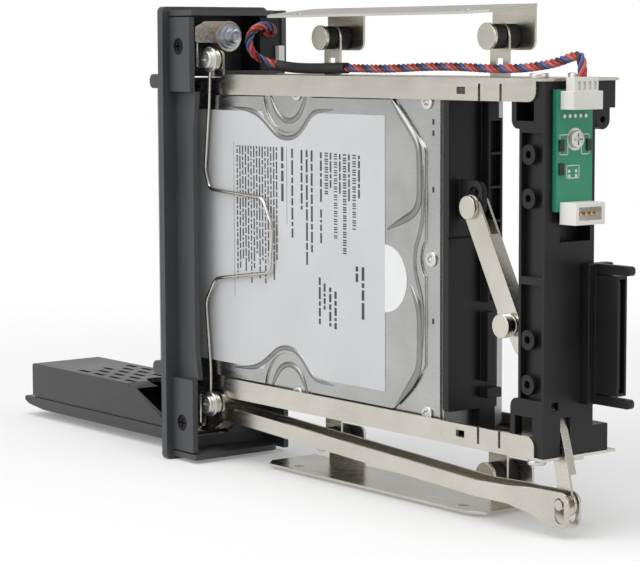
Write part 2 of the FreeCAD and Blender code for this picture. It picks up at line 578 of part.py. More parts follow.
def rail_stem(word, side, mount):
    """A stem bent off the web, with a round eye on the rubber mount's shank and a slot in its root."""
    centre = "mount_" + mount
    name = f"{word}_{mount}"
    sheet_y = onward("stem_y", "steel")
    through = about("stem_y", "3*steel")
    height = side_place(side, MOUNT_HALF)
    stem = [box(f"{name}_stem", about(centre, "stem_half"), sheet_y, side_span(side, WEB_IN, MOUNT_HALF)),
            rod(f"{name}_eye", "y", (centre, height), "stem_half", sheet_y)]
    holes = [rod(f"{name}_eye_hole", "y", (centre, height), "mount_shank_r", through),
             box(f"{name}_stem_slot", about(centre, "stem_slot_half"), through,
                 side_span(side, f"{WEB_OUT} + stem_slot_low", f"{WEB_OUT} + stem_slot_high"))]
    return stem, holes


def tab_screw(side, word):
    """Where the screw goes through the front tab of one rail."""
    return word + "_screw_x", side_place(side, f"{WEB_OUT} + {word}_screw_out")


def make_rail(label, side, word):
    web = box(word + "_web", ("body_back", f"{CARRIER_BACK} + web_past"), ("rail_near", RAIL_FAR),
              side_span(side, WEB_IN, WEB_OUT))
    out = side_place(side, WEB_OUT)
    lip = side_place(side, f"{WEB_OUT} - rail_lip")
    near = plate(word + "_near_lip", "XZ_Plane",
                 [("rail_start", out), ("rail_start", lip), (RAIL_END, lip), (RAIL_END, out)],
                 ("rail_near", RAIL_IN), [(1, "rail_round"), (2, "rail_round")])
    far = box(word + "_far_lip", ("rail_start", CARRIER_FRONT), (f"{RAIL_FAR} - steel", RAIL_FAR),
              side_span(side, f"{WEB_OUT} - rail_lip + far_lip_trim", WEB_OUT))
    screw_x, screw_z = tab_screw(side, word)
    root = side_place(side, WEB_IN)
    top = side_place(side, f"{WEB_OUT} + {word}_screw_out + tab_half")
    front = "(body_back - steel + fit_gap)"
    back = f"({screw_x} + tab_half)"
    tab = plate(word + "_tab", "XZ_Plane", [(front, root), (back, root), (back, top), (front, top)],
                ("rail_near", RAIL_IN), [(2, "tab_round"), (3, "tab_round")])
    straps, holes = rail_lances(word, side)
    stems = []
    for mount in ("front", "back"):
        stem, stem_holes = rail_stem(word, side, mount)
        stems += stem
        holes += stem_holes
    holes.append(rod(word + "_tab_hole", "y", (screw_x, screw_z), "tab_screw_r",
                     about("rail_near", "2*steel")))
    across = side_span(side, f"{WEB_IN} - steel", f"{WEB_OUT} + steel")
    for number, place in enumerate(REAR_SCREWS):
        holes.append(rod(f"{word}_rear_hole_{number}", "z", (f"{CARRIER_BACK} - rear_screw_in", place),
                         "rear_screw_r", across))
    if side < 0:
        holes.append(box("lower_web_slot", (f"{PIVOT_X} - hub_r - side_gap",
                                            f"{CARRIER_BACK} + 2*web_past"),
                         (f"{FOOT_NEAR} - 2*channel_gap", f"{FOOT_FAR} + channel_gap"), across))
    body = cut(word + "_rail_sheet", fuse(word + "_rail_body", web, near, far, tab, *stems), *holes)
    finish(label, fuse(word + "_rail_whole", body, *[cut(strap.Name + "_cut", strap, *[
        tool for tool in holes if tool.Name == word + "_eyelet"]) for strap in straps]))


def make_rail_screws():
    front = []
    rear = []
    for side, word in SIDES:
        centre = tab_screw(side, word)
        seat = "(rail_near - coil_long)"
        flange = f"({seat} - tab_flange_thick)"
        parts = [rod(word + "_tab_flange", "y", centre, "tab_flange_r", (flange, seat)),
                 rod(word + "_tab_dome", "y", centre, "tab_dome_r", (f"{flange} - tab_dome_tall", flange)),
                 rod(word + "_tab_shank", "y", centre, "tab_screw_r", (flange, f"{RAIL_IN} + tab_tip"))]
        front.append(fuse(word + "_tab_screw", *parts))
        for number, place in enumerate(REAR_SCREWS):
            spot_xy = (f"{CARRIER_BACK} - rear_screw_in", place)
            name = f"{word}_rear_screw_{number}"
            head = rod(name + "_head", "z", spot_xy, "rear_head_r",
                       side_span(side, WEB_OUT, f"{WEB_OUT} + rear_head_tall"))
            shank = rod(name + "_shank", "z", spot_xy, "rear_screw_r",
                        side_span(side, f"{WEB_OUT} - rear_screw_long", f"{WEB_OUT} + fit_gap"))
            rear.append(fuse(name, head, shank))
    finish("rail_front_screws", *front)
    finish("rail_rear_screws", *rear)


# The wire's bends between its two coils: distance behind the bezel's front, height above the middle, radius.
WIRE_BENDS = [(13.0, 42.5, 20.0), (10.5, 21.0, 3.0), (13.2, 15.2, 2.5), (41.8, 13.8, 3.0), (46.9, 5.0, 6.0),
              (45.2, -9.6, 2.5), (16.0, -13.6, 4.0), (10.3, -21.5, 4.0), (12.6, -43.0, 20.0)]


def coil_shape(x, z, near):
    """The wire's turns round a tab screw, as one revolved band with a crowned outer face."""
    mean = value("coil_r")
    inner = mean - value("wire_r")
    wide = value("coil_long - fit_gap")
    corners = [Vector(inner, near, 0), Vector(mean, near, 0), Vector(mean, near + wide, 0),
               Vector(inner, near + wide, 0)]
    crown = Vector(mean + value("wire_r"), near + wide / 2, 0)
    edges = [Part.LineSegment(corners[0], corners[1]).toShape(),
             Part.Arc(corners[1], crown, corners[2]).toShape(),
             Part.LineSegment(corners[2], corners[3]).toShape(),
             Part.LineSegment(corners[3], corners[0]).toShape()]
    turned = Part.Face(Part.Wire(edges)).revolve(Vector(), Vector(0, 1, 0), 360)
    turned.translate(Vector(x, 0, z))
    return turned


def make_retaining_wire():
    """The spring wire that presses on the drive's label side, coiled round the two tab screws."""
    middle = value(MID)
    thick = value("wire_r")
    mean = value("coil_r")
    near = value("rail_near - coil_long + fit_gap/2 + wire_r + wire_inset")
    far = value("rail_near - fit_gap/2 - wire_r - wire_inset")
    ends = []
    shapes = []
    for side, word in SIDES:
        x, z = spot(*tab_screw(side, word))
        shapes.append(coil_shape(x, z, value("rail_near - coil_long + fit_gap/2")))
        lean = mean * math.sqrt(0.5)
        ends.append(Vector(x - lean, far, z - side * lean))
        leg_z = z - side * value("leg_drop")
        leg = [Vector(value("leg_x"), near, leg_z + side * value("leg_long")),
               Vector(value("leg_x"), near, leg_z),
               Vector(x - value("leg_stop"), near, leg_z)]
        shapes.append(round_sweep(bent_path(leg, [value("leg_bend")]), thick))
    points = [ends[0]] + [Vector(x, far, middle + rise) for x, rise, radius in WIRE_BENDS] + [ends[1]]
    path = bent_path(points, [radius for x, rise, radius in WIRE_BENDS])
    shapes.append(round_sweep(path, thick))
    finish("retaining_wire", solid("wire_form", shapes[0].multiFuse(shapes[1:])))


def sheet_outline(near, far):
    """A side plate's outline, with a slanted front corner and a chamfer at its rear."""
    return [("plate_front", f"{near} + plate_nose"), ("plate_front + plate_nose", near),
            ("plate_back - plate_chamfer", near), ("plate_back", f"{near} + plate_chamfer/2"),
            ("plate_back", far), ("plate_front", far)]


def mount_tab(name, mount, root, top, corners):
    """A tab bent off a side plate's far edge, with the hole for a mount's shank."""
    centre = "mount_" + mount
    left, right = about(centre, "mount_tab_half")
    return plate(name, "XZ_Plane", [(left, root), (right, root), (right, top), (left, top)],
                 ("plate_far - plate_steel", "plate_far"), [(corner, "tab_corner") for corner in corners])


def make_lower_plate():
    flat = plate("lower_sheet", "XY_Plane", sheet_outline("plate_near", "plate_far"),
                 onward("plate_gap", "plate_steel"))
    parts = [flat]
    holes = [rod(f"lower_bay_hole_{number}", "z", (f"hole_front + {number}*hole_pitch", "hole_y"),
                 "bay_hole_r",
                 about("plate_gap", "2*plate_steel")) for number in (0, 1)]
    for mount in ("front", "back"):
        parts.append(mount_tab(f"lower_{mount}_mount_tab", mount, "plate_gap",
                               "plate_gap + mount_rise + tab_top", (2, 3)))
        holes.append(rod(f"lower_{mount}_tab_hole", "y", ("mount_" + mount, "plate_gap + mount_rise"),
                         "mount_shank_r", about("plate_far", "2*plate_steel")))
    finish("lower_side_plate", cut("lower_plate_cut", fuse("lower_plate_body", *parts), *holes))


def make_upper_plate():
    """Like the lower plate, but its free sheet hangs a few degrees down from the bend to its tabs."""
    top = "(bezel_tall - plate_gap)"
    flat = plate("upper_sheet", "XY_Plane", sheet_outline("(plate_near - plate_far)", "0"),
                 ("-plate_steel", "0"))
    holes = [rod(f"upper_bay_hole_{number}", "z",
                 (f"hole_front + {number}*hole_pitch", "hole_y - plate_far"),
                 "bay_hole_r", about("0", "2*plate_steel")) for number in (0, 1)]
    hanging = cut("upper_sheet_cut", flat, *holes)
    hanging.Placement = Placement(Vector(), Rotation(Vector(1, 0, 0), value("plate_droop")))
    bind(hanging, "Placement.Base.y", "plate_far")
    bind(hanging, "Placement.Base.z", top)
    parts = [hanging]
    holes = []
    for mount in ("front", "back"):
        parts.append(mount_tab(f"upper_{mount}_mount_tab", mount, f"{top} - mount_rise - tab_top", top,
                               (0, 1)))
        holes.append(rod(f"upper_{mount}_tab_hole", "y", ("mount_" + mount, f"{top} - mount_rise"),
                         "mount_shank_r",
                         about("plate_far", "2*plate_steel")))
    finish("upper_side_plate", cut("upper_plate_cut", fuse("upper_plate_body", *parts), *holes))


def make_mounts():
    discs = []
    bushes = []
    for side, word in SIDES:
        for mount in ("front", "back"):
            centre = ("mount_" + mount, side_place(side, MOUNT_HALF))
            name = f"{word}_{mount}"
            head = rod(name + "_disc", "y", centre, "disc_r", onward("disc_y", "disc_thick"))
            shank = rod(name + "_disc_shank", "y", centre, "mount_shank_r",
                        ("disc_y + disc_thick/2", "plate_far + shank_past"))
            discs.append(fuse(name + "_disc_body", head, shank))
            for half, span in (("near", ("disc_y + disc_thick", "stem_y")),
                               ("far", ("stem_y + steel", "plate_far - plate_steel"))):
                rubber = rod(f"{name}_{half}_rubber", "y", centre, "bush_r", span)
                hole = rod(f"{name}_{half}_hole", "y", centre, "mount_shank_r", span)
                bushes.append(cut(f"{name}_{half}_bush", rubber, hole))
    finish("mount_discs", *discs)
    finish("rubber_bushes", *bushes)


# Rear carrier, board and connector

RING_HEIGHTS = ("ring_top", "ring_high", "-ring_low", "-ring_foot")


def carrier_blocks():
    """The two blocks that fill the rails' ends, with ears at the far side and a screw lobe."""
    blocks = []
    for side, word in SIDES:
        inner = side_place(side, f"{WEB_IN} - {word}_block")
        outer = side_place(side, WEB_IN)
        blocks.append(plate(f"carrier_{word}_block", "XZ_Plane",
                            [(CARRIER_BLOCK, inner), (CARRIER_BACK, inner), (CARRIER_BACK, outer),
                             (CARRIER_BLOCK, outer)],
                            (RAIL_IN, CARRIER_FAR), [(0, "block_curve")]))
        blocks.append(box(f"carrier_{word}_ear", (f"{CARRIER_BLOCK} + ear_back", CARRIER_BACK),
                          (f"{CARRIER_FAR} - carrier_rim", f"{RAIL_IN} + {word}_ear"),
                          side_span(side, f"{WEB_IN} - ear_tall", WEB_IN)))
    lobe_y = f"({CARRIER_FAR} + lobe_out)"
    lobe_z = side_place(1, f"{WEB_IN} - lobe_down")
    span = (f"{CARRIER_BACK} - lobe_thick", CARRIER_BACK)
    blocks.append(rod("carrier_lobe", "x", (lobe_y, lobe_z), "lobe_r", span))
    blocks.append(box("carrier_lobe_neck", span, (f"{CARRIER_FAR} - carrier_rim", f"{lobe_y} + lobe_r"),
                      side_span(1, f"{WEB_IN} - lobe_down", f"{WEB_IN} - ear_tall/2")))
    hole = rod("carrier_lobe_hole", "x", (lobe_y, lobe_z), "lobe_hole_r",
               (span[0], f"{CARRIER_BACK} + carrier_rim"))
    return blocks, hole


def carrier_cells():
    """Shallow cells in the near face either side of a divider, and a window in each block."""
    cells = []
    inside = (f"{CARRIER_FRONT} + carrier_rim", f"{CARRIER_BACK} - carrier_rim")
    near = (f"{RAIL_IN} - cell_deep", f"{RAIL_IN} + cell_deep")
    heights = ((f"{MID} - {WEB_IN} + lower_block", f"{MID} - divider_low"),
               (f"{MID} - divider_low + divider_thick", f"{MID} + {WEB_IN} - upper_block - carrier_rim"))
    for number, height in enumerate(heights):
        cells.append(box(f"carrier_cell_{number}", inside, near, height))
    for side, word in SIDES:
        cells.append(box(f"carrier_{word}_window", onward(f"{CARRIER_BLOCK} + window_back", "window_long"),
                         (f"{RAIL_IN} - cell_deep", f"{RAIL_IN} + window_deep"),
                         side_span(side, f"{WEB_IN} - window_near - window_tall",
                                   f"{WEB_IN} - window_near")))
    return cells


def carrier_rear():
    """The lever's channel, its slot in the rear wall, the port under the board and a keyhole."""
    low = side_place(-1, f"{WEB_IN} + carrier_rim")
    arm = (f"{LEVER_NEAR} - channel_gap", f"{FOOT_FAR} + channel_gap")
    port = (f"{BOARD_LOW} - port_tall", f"{BOARD_LOW} - side_gap")
    past = f"({CARRIER_BACK} + carrier_rim)"
    start = f"({RAIL_IN} + port_in)"
    return [box("carrier_channel", (f"{CARRIER_BLOCK} - carrier_rim", f"{CARRIER_BACK} - rear_wall"), arm,
                (low, f"{PIVOT_Z} + channel_above")),
            box("carrier_slot", (CARRIER_FRONT, past), (f"{FOOT_NEAR} - channel_gap", arm[1]),
                (low, f"{MID} - slot_top")),
            box("carrier_port", (f"{CARRIER_BACK} - port_deep", past), onward(start, "port_wide"), port),
            box("carrier_port_slit", (f"{CARRIER_FRONT} - carrier_rim", past), onward(start, "port_slit"),
                port),
            box("carrier_keyhole", (f"{CARRIER_BACK} - 2*rear_wall", past),
                onward(f"{RAIL_IN} + key_in", "key_wide"),
                onward(f"{MID} - key_down", "key_tall"))]


def make_carrier():
    core = box("carrier_core", (CARRIER_FRONT, CARRIER_BACK), (RAIL_IN, CARRIER_FAR), both_sides(WEB_IN))
    blocks, lobe_hole = carrier_blocks()
    tools = carrier_cells() + carrier_rear() + [lobe_hole]
    for side, word in SIDES:
        for number, place in enumerate(REAR_SCREWS):
            tools.append(rod(f"carrier_{word}_hole_{number}", "z",
                             (f"{CARRIER_BACK} - rear_screw_in", place),
                             "rear_screw_r", side_span(side, f"{WEB_OUT} - rear_screw_long",
                                                       f"{WEB_IN} + steel")))
    body = cut("carrier_cut", fuse("carrier_body", core, *blocks), *tools)
    lug_y = onward(f"({LEVER_FAR} + side_gap)", "pivot_lug")
    lug = fuse("carrier_lug_body", rod("carrier_lug_round", "y", (PIVOT_X, PIVOT_Z), "pivot_lug_r", lug_y),
               box("carrier_lug_arm", (PIVOT_X, f"{CARRIER_FRONT} + 2*carrier_rim"), lug_y,
                   about(PIVOT_Z, "pivot_lug_r")))
    hole = rod("carrier_pivot_hole", "y", (PIVOT_X, PIVOT_Z), "pivot_r",
               (LEVER_FAR, f"{LEVER_FAR} + 2*pivot_lug"))
    rings = []
    for number, height in enumerate(RING_HEIGHTS):
        centre = (f"{CARRIER_FRONT} + ring_back", f"{MID} + ({height})")
        boss = rod(f"carrier_ring_{number}", "y", centre, "ring_r",
                   (f"{RAIL_IN} + ring_sink", f"{RAIL_IN} + cell_deep"))
        pilot = rod(f"carrier_ring_hole_{number}", "y", centre, "ring_hole_r",
                    (f"{RAIL_IN} - cell_deep", f"{RAIL_IN} + cell_deep"))
        rings.append(cut(f"carrier_ring_cut_{number}", boss, pilot))
    finish("rear_carrier", fuse("carrier_whole", body, cut("carrier_lug", lug, hole), *rings))


def make_connector():
    """The data and power socket block that faces the rear, with two guide posts."""
    base_near = f"({RAIL_IN} + plug_in)"
    low, high = f"({MID} + socket_rise - socket_tall)", f"({MID} + socket_rise)"
    shell_y = onward(f"({base_near} + plug_shell_in)", "plug_shell_wide")
    base = box("plug_foot", onward(CARRIER_BACK, "plug_base"), onward(base_near, "plug_wide"), (low, high))
    shell = box("plug_shell", (f"{CARRIER_BACK} + plug_base/2", f"{CARRIER_BACK} + plug_long"), shell_y,
                (f"{low} + plug_end", f"{high} - plug_end"))
    mouth = box("plug_mouth", (f"{CARRIER_BACK} + 1.5*plug_base", f"{CARRIER_BACK} + 2*plug_long"),
                (f"{shell_y[0]} + plug_skin", f"{shell_y[1]} - plug_skin"),
                (f"{low} + plug_end + plug_skin", f"{high} - plug_end - plug_skin"))
    middle = f"(({shell_y[0]} + {shell_y[1]})/2)"
    tongue = box("plug_tongue", (f"{CARRIER_BACK} + plug_base", f"{CARRIER_BACK} + plug_long - tongue_end"),
                 about(middle, "tongue_thick/2"), (f"{low} + plug_end + 2*plug_skin",
                                                   f"{high} - plug_end - 2*plug_skin"))
    posts = [plate(f"plug_post_{number}", "XZ_Plane",
                   [(f"{CARRIER_BACK} + plug_base/2", start), (f"{CARRIER_BACK} + post_long", start),
                    (f"{CARRIER_BACK} + post_long", end), (f"{CARRIER_BACK} + plug_base/2", end)],
                   onward(shell_y[0], "post_wide"), [(1, "post_tall*0.4"), (2, "post_tall*0.4")])
             for number, (start, end) in enumerate((onward(low, "post_tall"),
                                                    (f"{high} - post_tall", high)))]
    hollow = cut("plug_hollow", fuse("plug_body", base, shell), mouth)
    finish("rear_connector", fuse("plug_whole", hollow, tongue, *posts))


def open_header(label, deep, low, high, well_low, well_high):
    """A white header on the board: an open-topped shroud."""
    near = f"({BOARD_NEAR} + header_in)"
    far = f"({near} + header_wide)"
    block = box(label + "_block", onward(BOARD_FACE, deep), (near, far), (low, high))
    well = box(label + "_well", (f"{BOARD_FACE} + header_floor", f"{BOARD_FACE} + {deep} - header_wall"),
               (f"{near} + header_wall", f"{far} - header_wall"), (well_low, well_high))
    finish(label, cut(label + "_cut", block, well))


def make_board():
    far = f"({BOARD_NEAR} + board_wide)"
    screw = (f"{BOARD_NEAR} + board_screw_in", f"{BOARD_TOP} - board_screw_down")
    flat = box("board_flat", (CARRIER_BACK, BOARD_FACE), (BOARD_NEAR, far), (BOARD_LOW, BOARD_TOP))
    hole = rod("board_hole", "x", screw, "board_screw_r", about(CARRIER_BACK, "2*board_thick"))
    finish("signal_board", cut("board_cut", flat, hole))
    head = rod("board_screw_head", "x", screw, "board_head_r", onward(BOARD_FACE, "board_head_tall"))
    shank = rod("board_screw_shank", "x", screw, "board_screw_r",
                (CARRIER_BACK, f"{BOARD_FACE} + board_head_tall/2"))
    finish("board_screw", fuse("board_screw_body", head, shank))
    row = f"({BOARD_TOP} - board_screw_down - chip_tall/2)"
    chips = [box(f"board_chip_{number}", onward(BOARD_FACE, "chip_thick"), about(place, "chip_wide/2"),
                 about(z, "chip_tall/2"))
             for number, (place, z) in enumerate(((f"{BOARD_NEAR} + chip_wide", row),
                                                  (f"{far} - chip_wide", row),
                                                  (f"{BOARD_NEAR} + chip_wide", f"{row} - 2*chip_tall")))]
    finish("board_parts", *chips)
    top = f"({BOARD_TOP} - header_below)"
    open_header("lead_header", "header_deep", f"{top} - header_tall", top,
                f"{top} - header_tall + header_wall",
                f"{top} + header_wall")
    low = f"({BOARD_LOW} - spare_under)"
    open_header("spare_header", "spare_deep", low, f"{low} + spare_tall", f"{low} - header_wall",
                f"{low} + spare_tall - 2*header_wall")
    near = f"({BOARD_NEAR} + header_in + header_wall + plug_gap)"
    width = "header_wide - 2*header_wall - 2*plug_gap"
    plug = box("lead_plug_body", onward(f"{BOARD_FACE} + header_floor",
                                        "header_deep - header_floor - header_wall"),
               onward(near, width), (f"{top} - header_tall + header_wall",
                                     f"{BOARD_TOP} + lead_plug_above"))
    finish("lead_plug", plug)


# Dock carriage and the drive in it

def dock_column():
    """The stepped column down the dock's rear face, with contact cells open to the rear."""
    near = f"({DRIVE_NEAR} + column_in)"
    deep = (f"{DOCK_BACK} - dock_plate/2", f"{DOCK_BACK} + column_deep")
    steps = (("dock_column", "column_wide", f"{MID} - column_low", f"{MID} + column_top"),
             ("dock_neck", "neck_wide", f"{MID} + column_low", f"{MID} + neck_top"),
             ("dock_shin", "shin_wide", f"{MID} - shin_low", f"{MID} - shin_top"),
             ("dock_foot", "column_wide", f"{MID} - foot_low", f"{MID} - foot_top"))
    parts = [box(name, deep, onward(near, wide), (low, high)) for name, wide, low, high in steps]
    inside = (f"{near} + column_wall", f"{near} + column_wide - column_wall")
    open_x = (f"{DOCK_BACK} + column_deep - pocket_deep", f"{DOCK_BACK} + 2*column_deep")
    cells = []
    for number in range(int(value("cell_count"))):
        top = f"({MID} + column_top - column_wall - {number}*(cell_tall + column_wall))"
        cells.append(box(f"dock_cell_{number}", open_x, inside, (f"{top} - cell_tall", top)))
    bottom = f"({MID} + column_top - column_wall - cell_count*(cell_tall + column_wall))"
    cells.append(box("dock_contact_well", open_x, inside, (f"{MID} - column_low + column_wall", bottom)))
    return parts, cells


def make_dock():
    far = f"({DRIVE_NEAR} + dock_wide)"
    low, high = f"({MID} - dock_below)", f"({MID} + dock_above)"
    face = plate("dock_face", "YZ_Plane", [(DRIVE_NEAR, low), (far, low), (far, high), (DRIVE_NEAR, high)],
                 (DOCK_FRONT, DOCK_BACK), [(0, "socket_wall"), (3, "socket_wall")])
    runner_y = onward(f"({DRIVE_NEAR} + runner_in)", "runner_wide")
    runners = box("dock_runners", (DOCK_FRONT, DOCK_BACK), runner_y, both_sides(f"{WEB_IN} - runner_gap"))
    column, tools = dock_column()
    lug_near = f"({LEVER_NEAR} + steel + side_gap)"
    lug_span = onward(lug_near, "pin_lug")
    lug_low = f"({UPPER_Z} - pin_lug_r)"
    lug_high = f"({UPPER_Z} + {UPPER_LIFT} + pin_lug_r)"
    lug_back = f"({UPPER_X} + pin_lug_r)"
    lug = plate("dock_lug", "XZ_Plane",
                [(f"{DOCK_BACK} - dock_plate/2", lug_low), (lug_back, lug_low), (lug_back, lug_high),
                 (f"{DOCK_BACK} - dock_plate/2", lug_high)], lug_span,
                [(1, "pin_lug_r*0.9"), (2, "pin_lug_r*0.9")])
    tools += slot_tool("dock_pin_slot", (UPPER_X, f"({UPPER_Z} + {UPPER_LIFT})"), UPPER_LIFT,
                       "dock_pin_r + pin_gap",
                       about(lug_near, "2*pin_lug"))
    tools.append(box("dock_seam", (f"{DOCK_BACK} - seam_wide", f"{DOCK_BACK} + seam_wide"),
                     (f"{DRIVE_NEAR} - seam_wide", f"{DRIVE_NEAR} + column_in - seam_wide"),
                     onward(f"{MID} + seam_above", "seam_wide")))
    finish("dock_carriage", cut("dock_cut", fuse("dock_body", face, runners, lug, *column), *tools))
    socket_y = onward(f"({DRIVE_NEAR} + socket_in)", "socket_deep")
    block = box("dock_socket", (f"{REAR} + socket_front", DOCK_FRONT), socket_y, both_sides("socket_half"))
    groove = box("dock_socket_groove", (f"{REAR}", f"{DOCK_FRONT} - dock_gap/4"),
                 (f"{socket_y[0]} + socket_wall", f"{socket_y[1]} - socket_wall"),
                 both_sides("socket_half - socket_wall"))
    finish("dock_connector", cut("dock_socket_cut", block, groove))


def make_drive():
    start = "(-drive_out)"
    low = f"({MID} - drive_wide/2)"
    high = f"({MID} + drive_wide/2)"
    under = f"({DRIVE_NEAR} + cover_thick)"
    raised = f"({DRIVE_NEAR} + cover_rise)"
    base = plate("drive_casting", "XZ_Plane", [(start, low), (REAR, low), (REAR, high), (start, high)],
                 (under, DRIVE_FAR), [(corner, "drive_corner") for corner in range(4)])
    well = box("drive_well", (f"{start} + card_start", f"2*{REAR}"),
               (f"{DRIVE_FAR} - card_well", f"{DRIVE_FAR} + card_well"),
               (f"{low} + card_edge - fit_gap", f"{high} - card_edge + fit_gap"))
    tail = box("drive_tail", (f"{REAR} - tail_long", f"2*{REAR}"),
               (f"{DRIVE_FAR} - tail_step", f"{DRIVE_FAR} + tail_step"),
               (f"{low} - card_edge", f"{high} + card_edge"))
    finish("drive_base", cut("drive_base_cut", base, well, tail))
    card = box("drive_card", (f"{start} + card_start + fit_gap", f"{REAR} - card_stop"),
               onward(f"{DRIVE_FAR} - card_well", "card_thick"),
               (f"{low} + card_edge", f"{high} - card_edge"))
    finish("drive_board", card)

    front = f"({start} + cover_inset)"
    back = f"({REAR} - cover_inset)"
    lower = f"({low} + cover_inset)"
    upper = f"({high} - cover_inset)"
    lid = plate("drive_lid", "XZ_Plane", [(front, lower), (back, lower), (back, upper), (front, upper)],
                (raised, under), [(corner, "drive_corner + cover_inset") for corner in range(4)])
    ridge_low = f"({low} + rim_side)"
    ridge_high = f"({high} - rim_side)"
    ridge_back = f"({REAR} - rim_end)"
    ridge = plate("drive_lid_ridge", "XZ_Plane",
                  [(f"{start} + rim_cut", ridge_low), (f"{ridge_back} - rim_cut", ridge_low),
                   (ridge_back, f"{ridge_low} + rim_cut"),
                   (ridge_back, f"{ridge_high} - rim_cut"), (f"{ridge_back} - rim_cut", ridge_high),
                   (f"{start} + rim_cut", ridge_high), (f"{start} + rim_end", f"{ridge_high} - rim_cut"),
                   (f"{start} + rim_end", f"{ridge_low} + rim_cut")],
                  (DRIVE_NEAR, f"{raised} + fit_gap"), [(corner, "drive_corner") for corner in range(8)])
    open_y = (f"{DRIVE_NEAR} - cover_thick", raised)
    scallop_x = f"({REAR} - scallop_back)"
    scallop_z = [side_place(side, "drive_wide/2 - scallop_in") for side, word in SIDES]
    scallops = [rod(f"lid_scallop_{number}", "y", (scallop_x, height), "scallop_r", open_y)
                for number, height in enumerate(scallop_z)]
    scallops.append(rod("lid_end_scallop", "y", (back, MID), "end_scallop_r", open_y))
    finish("drive_cover", fuse("drive_lid_whole", lid, cut("drive_lid_ridge_cut", ridge, *scallops)))

    edge = f"({start} + label_start)"
    stop = f"({REAR} - label_back)"
    paper_y = (f"{DRIVE_NEAR} - label_thick", DRIVE_NEAR)
    paper = plate("drive_paper", "XZ_Plane",
                  [(edge, side_place(-1, "label_half")), (stop, side_place(-1, "label_half")),
                   (stop, side_place(1, "label_half")), (edge, side_place(1, "label_half"))], paper_y)
    curves = [rod(f"label_curve_{number}", "y", (scallop_x, height), "scallop_r + label_gap", open_y)
              for number, height in enumerate(scallop_z)]
    finish("drive_label", cut("drive_paper_cut", paper, *curves))
    disc = rod("seal_disc", "y", (stop, f"{MID} - seal_drop"), "seal_r", paper_y)
    half = box("seal_half", onward(stop, "2*seal_r"), about(DRIVE_NEAR, "2*label_thick"),
               about(f"{MID} - seal_drop", "2*seal_r"))
    finish("drive_seal", common("seal_shape", disc, half))

    heads = []
    seats = [(f"{scallop_x} + cover_screw_edge", height) for height in scallop_z]
    for x in (f"{REAR} - cover_screw_end", f"{start} + cover_screw_end"):
        seats += [(x, side_place(side, "drive_wide/2 - cover_screw_edge - cover_inset")) for side,
                  word in SIDES]
    seats.append((f"{REAR} - cover_screw_edge", MID))
    for number, centre in enumerate(seats):
        heads.append(rod(f"drive_screw_{number}", "y", centre, "cover_screw_r", (DRIVE_NEAR, raised)))
    finish("drive_screws", *heads)


# Eject linkage

def prism(points, thickness):
    """A closed outline of points pulled along one direction."""
    return Part.Face(Part.makePolygon(points + points[:1])).extrude(thickness)


def lever_fold(upper_deep, lower_deep, top, bottom):
    """The lever's folded section: one plane at the upper arm, a joggle, and another plane at the foot."""
    near = value(LEVER_NEAR)
    foot = value(FOOT_NEAR)
    pivot = value(PIVOT_Z)
    heights = (top, pivot - value("jog_start"), pivot - value("jog_end"), bottom)
    planes = (near, near, foot, foot)
    depths = (upper_deep, upper_deep, lower_deep, lower_deep)
    start = value(UPPER_X) - value("fork_long")
    line = [Vector(start, y, z) for y, z in zip(planes, heights)]
    back = [Vector(start, y + deep, z) for y, z, deep in zip(planes, heights, depths)]
    return prism(line + back[::-1], Vector(value(LOWER_X) - start + value("fork_long"), 0, 0))


def lever_band(inner, outer, y_span):
    """A curved strip from the pivot to the lower pin, between two offsets from its middle line."""
    pivot, lower = (Vector(x, y_span[0], z) for x, z in (spot(PIVOT_X, PIVOT_Z), spot(LOWER_X, LOWER_Z)))
    run = lower - pivot
    across = Vector(-run.z, 0, run.x).normalize()
    bulge = value("arm_bulge")
    radius = (run.Length**2 / 4 + bulge**2) / (2 * bulge)
    crown = (pivot + lower) * 0.5 + across * bulge
    centre = crown - across * radius
    arcs = []
    for offset in (outer, inner):
        arcs.append([centre + (point - centre) * ((radius + offset) / radius) for point in (pivot, crown,
                                                                                            lower)])
    rim, core = arcs
    edges = [Part.Arc(*rim).toShape(), Part.LineSegment(rim[2], core[2]).toShape(),
             Part.Arc(*core[::-1]).toShape(), Part.LineSegment(core[0], rim[0]).toShape()]
    return Part.Face(Part.Wire(edges)).extrude(Vector(0, y_span[1] - y_span[0], 0))


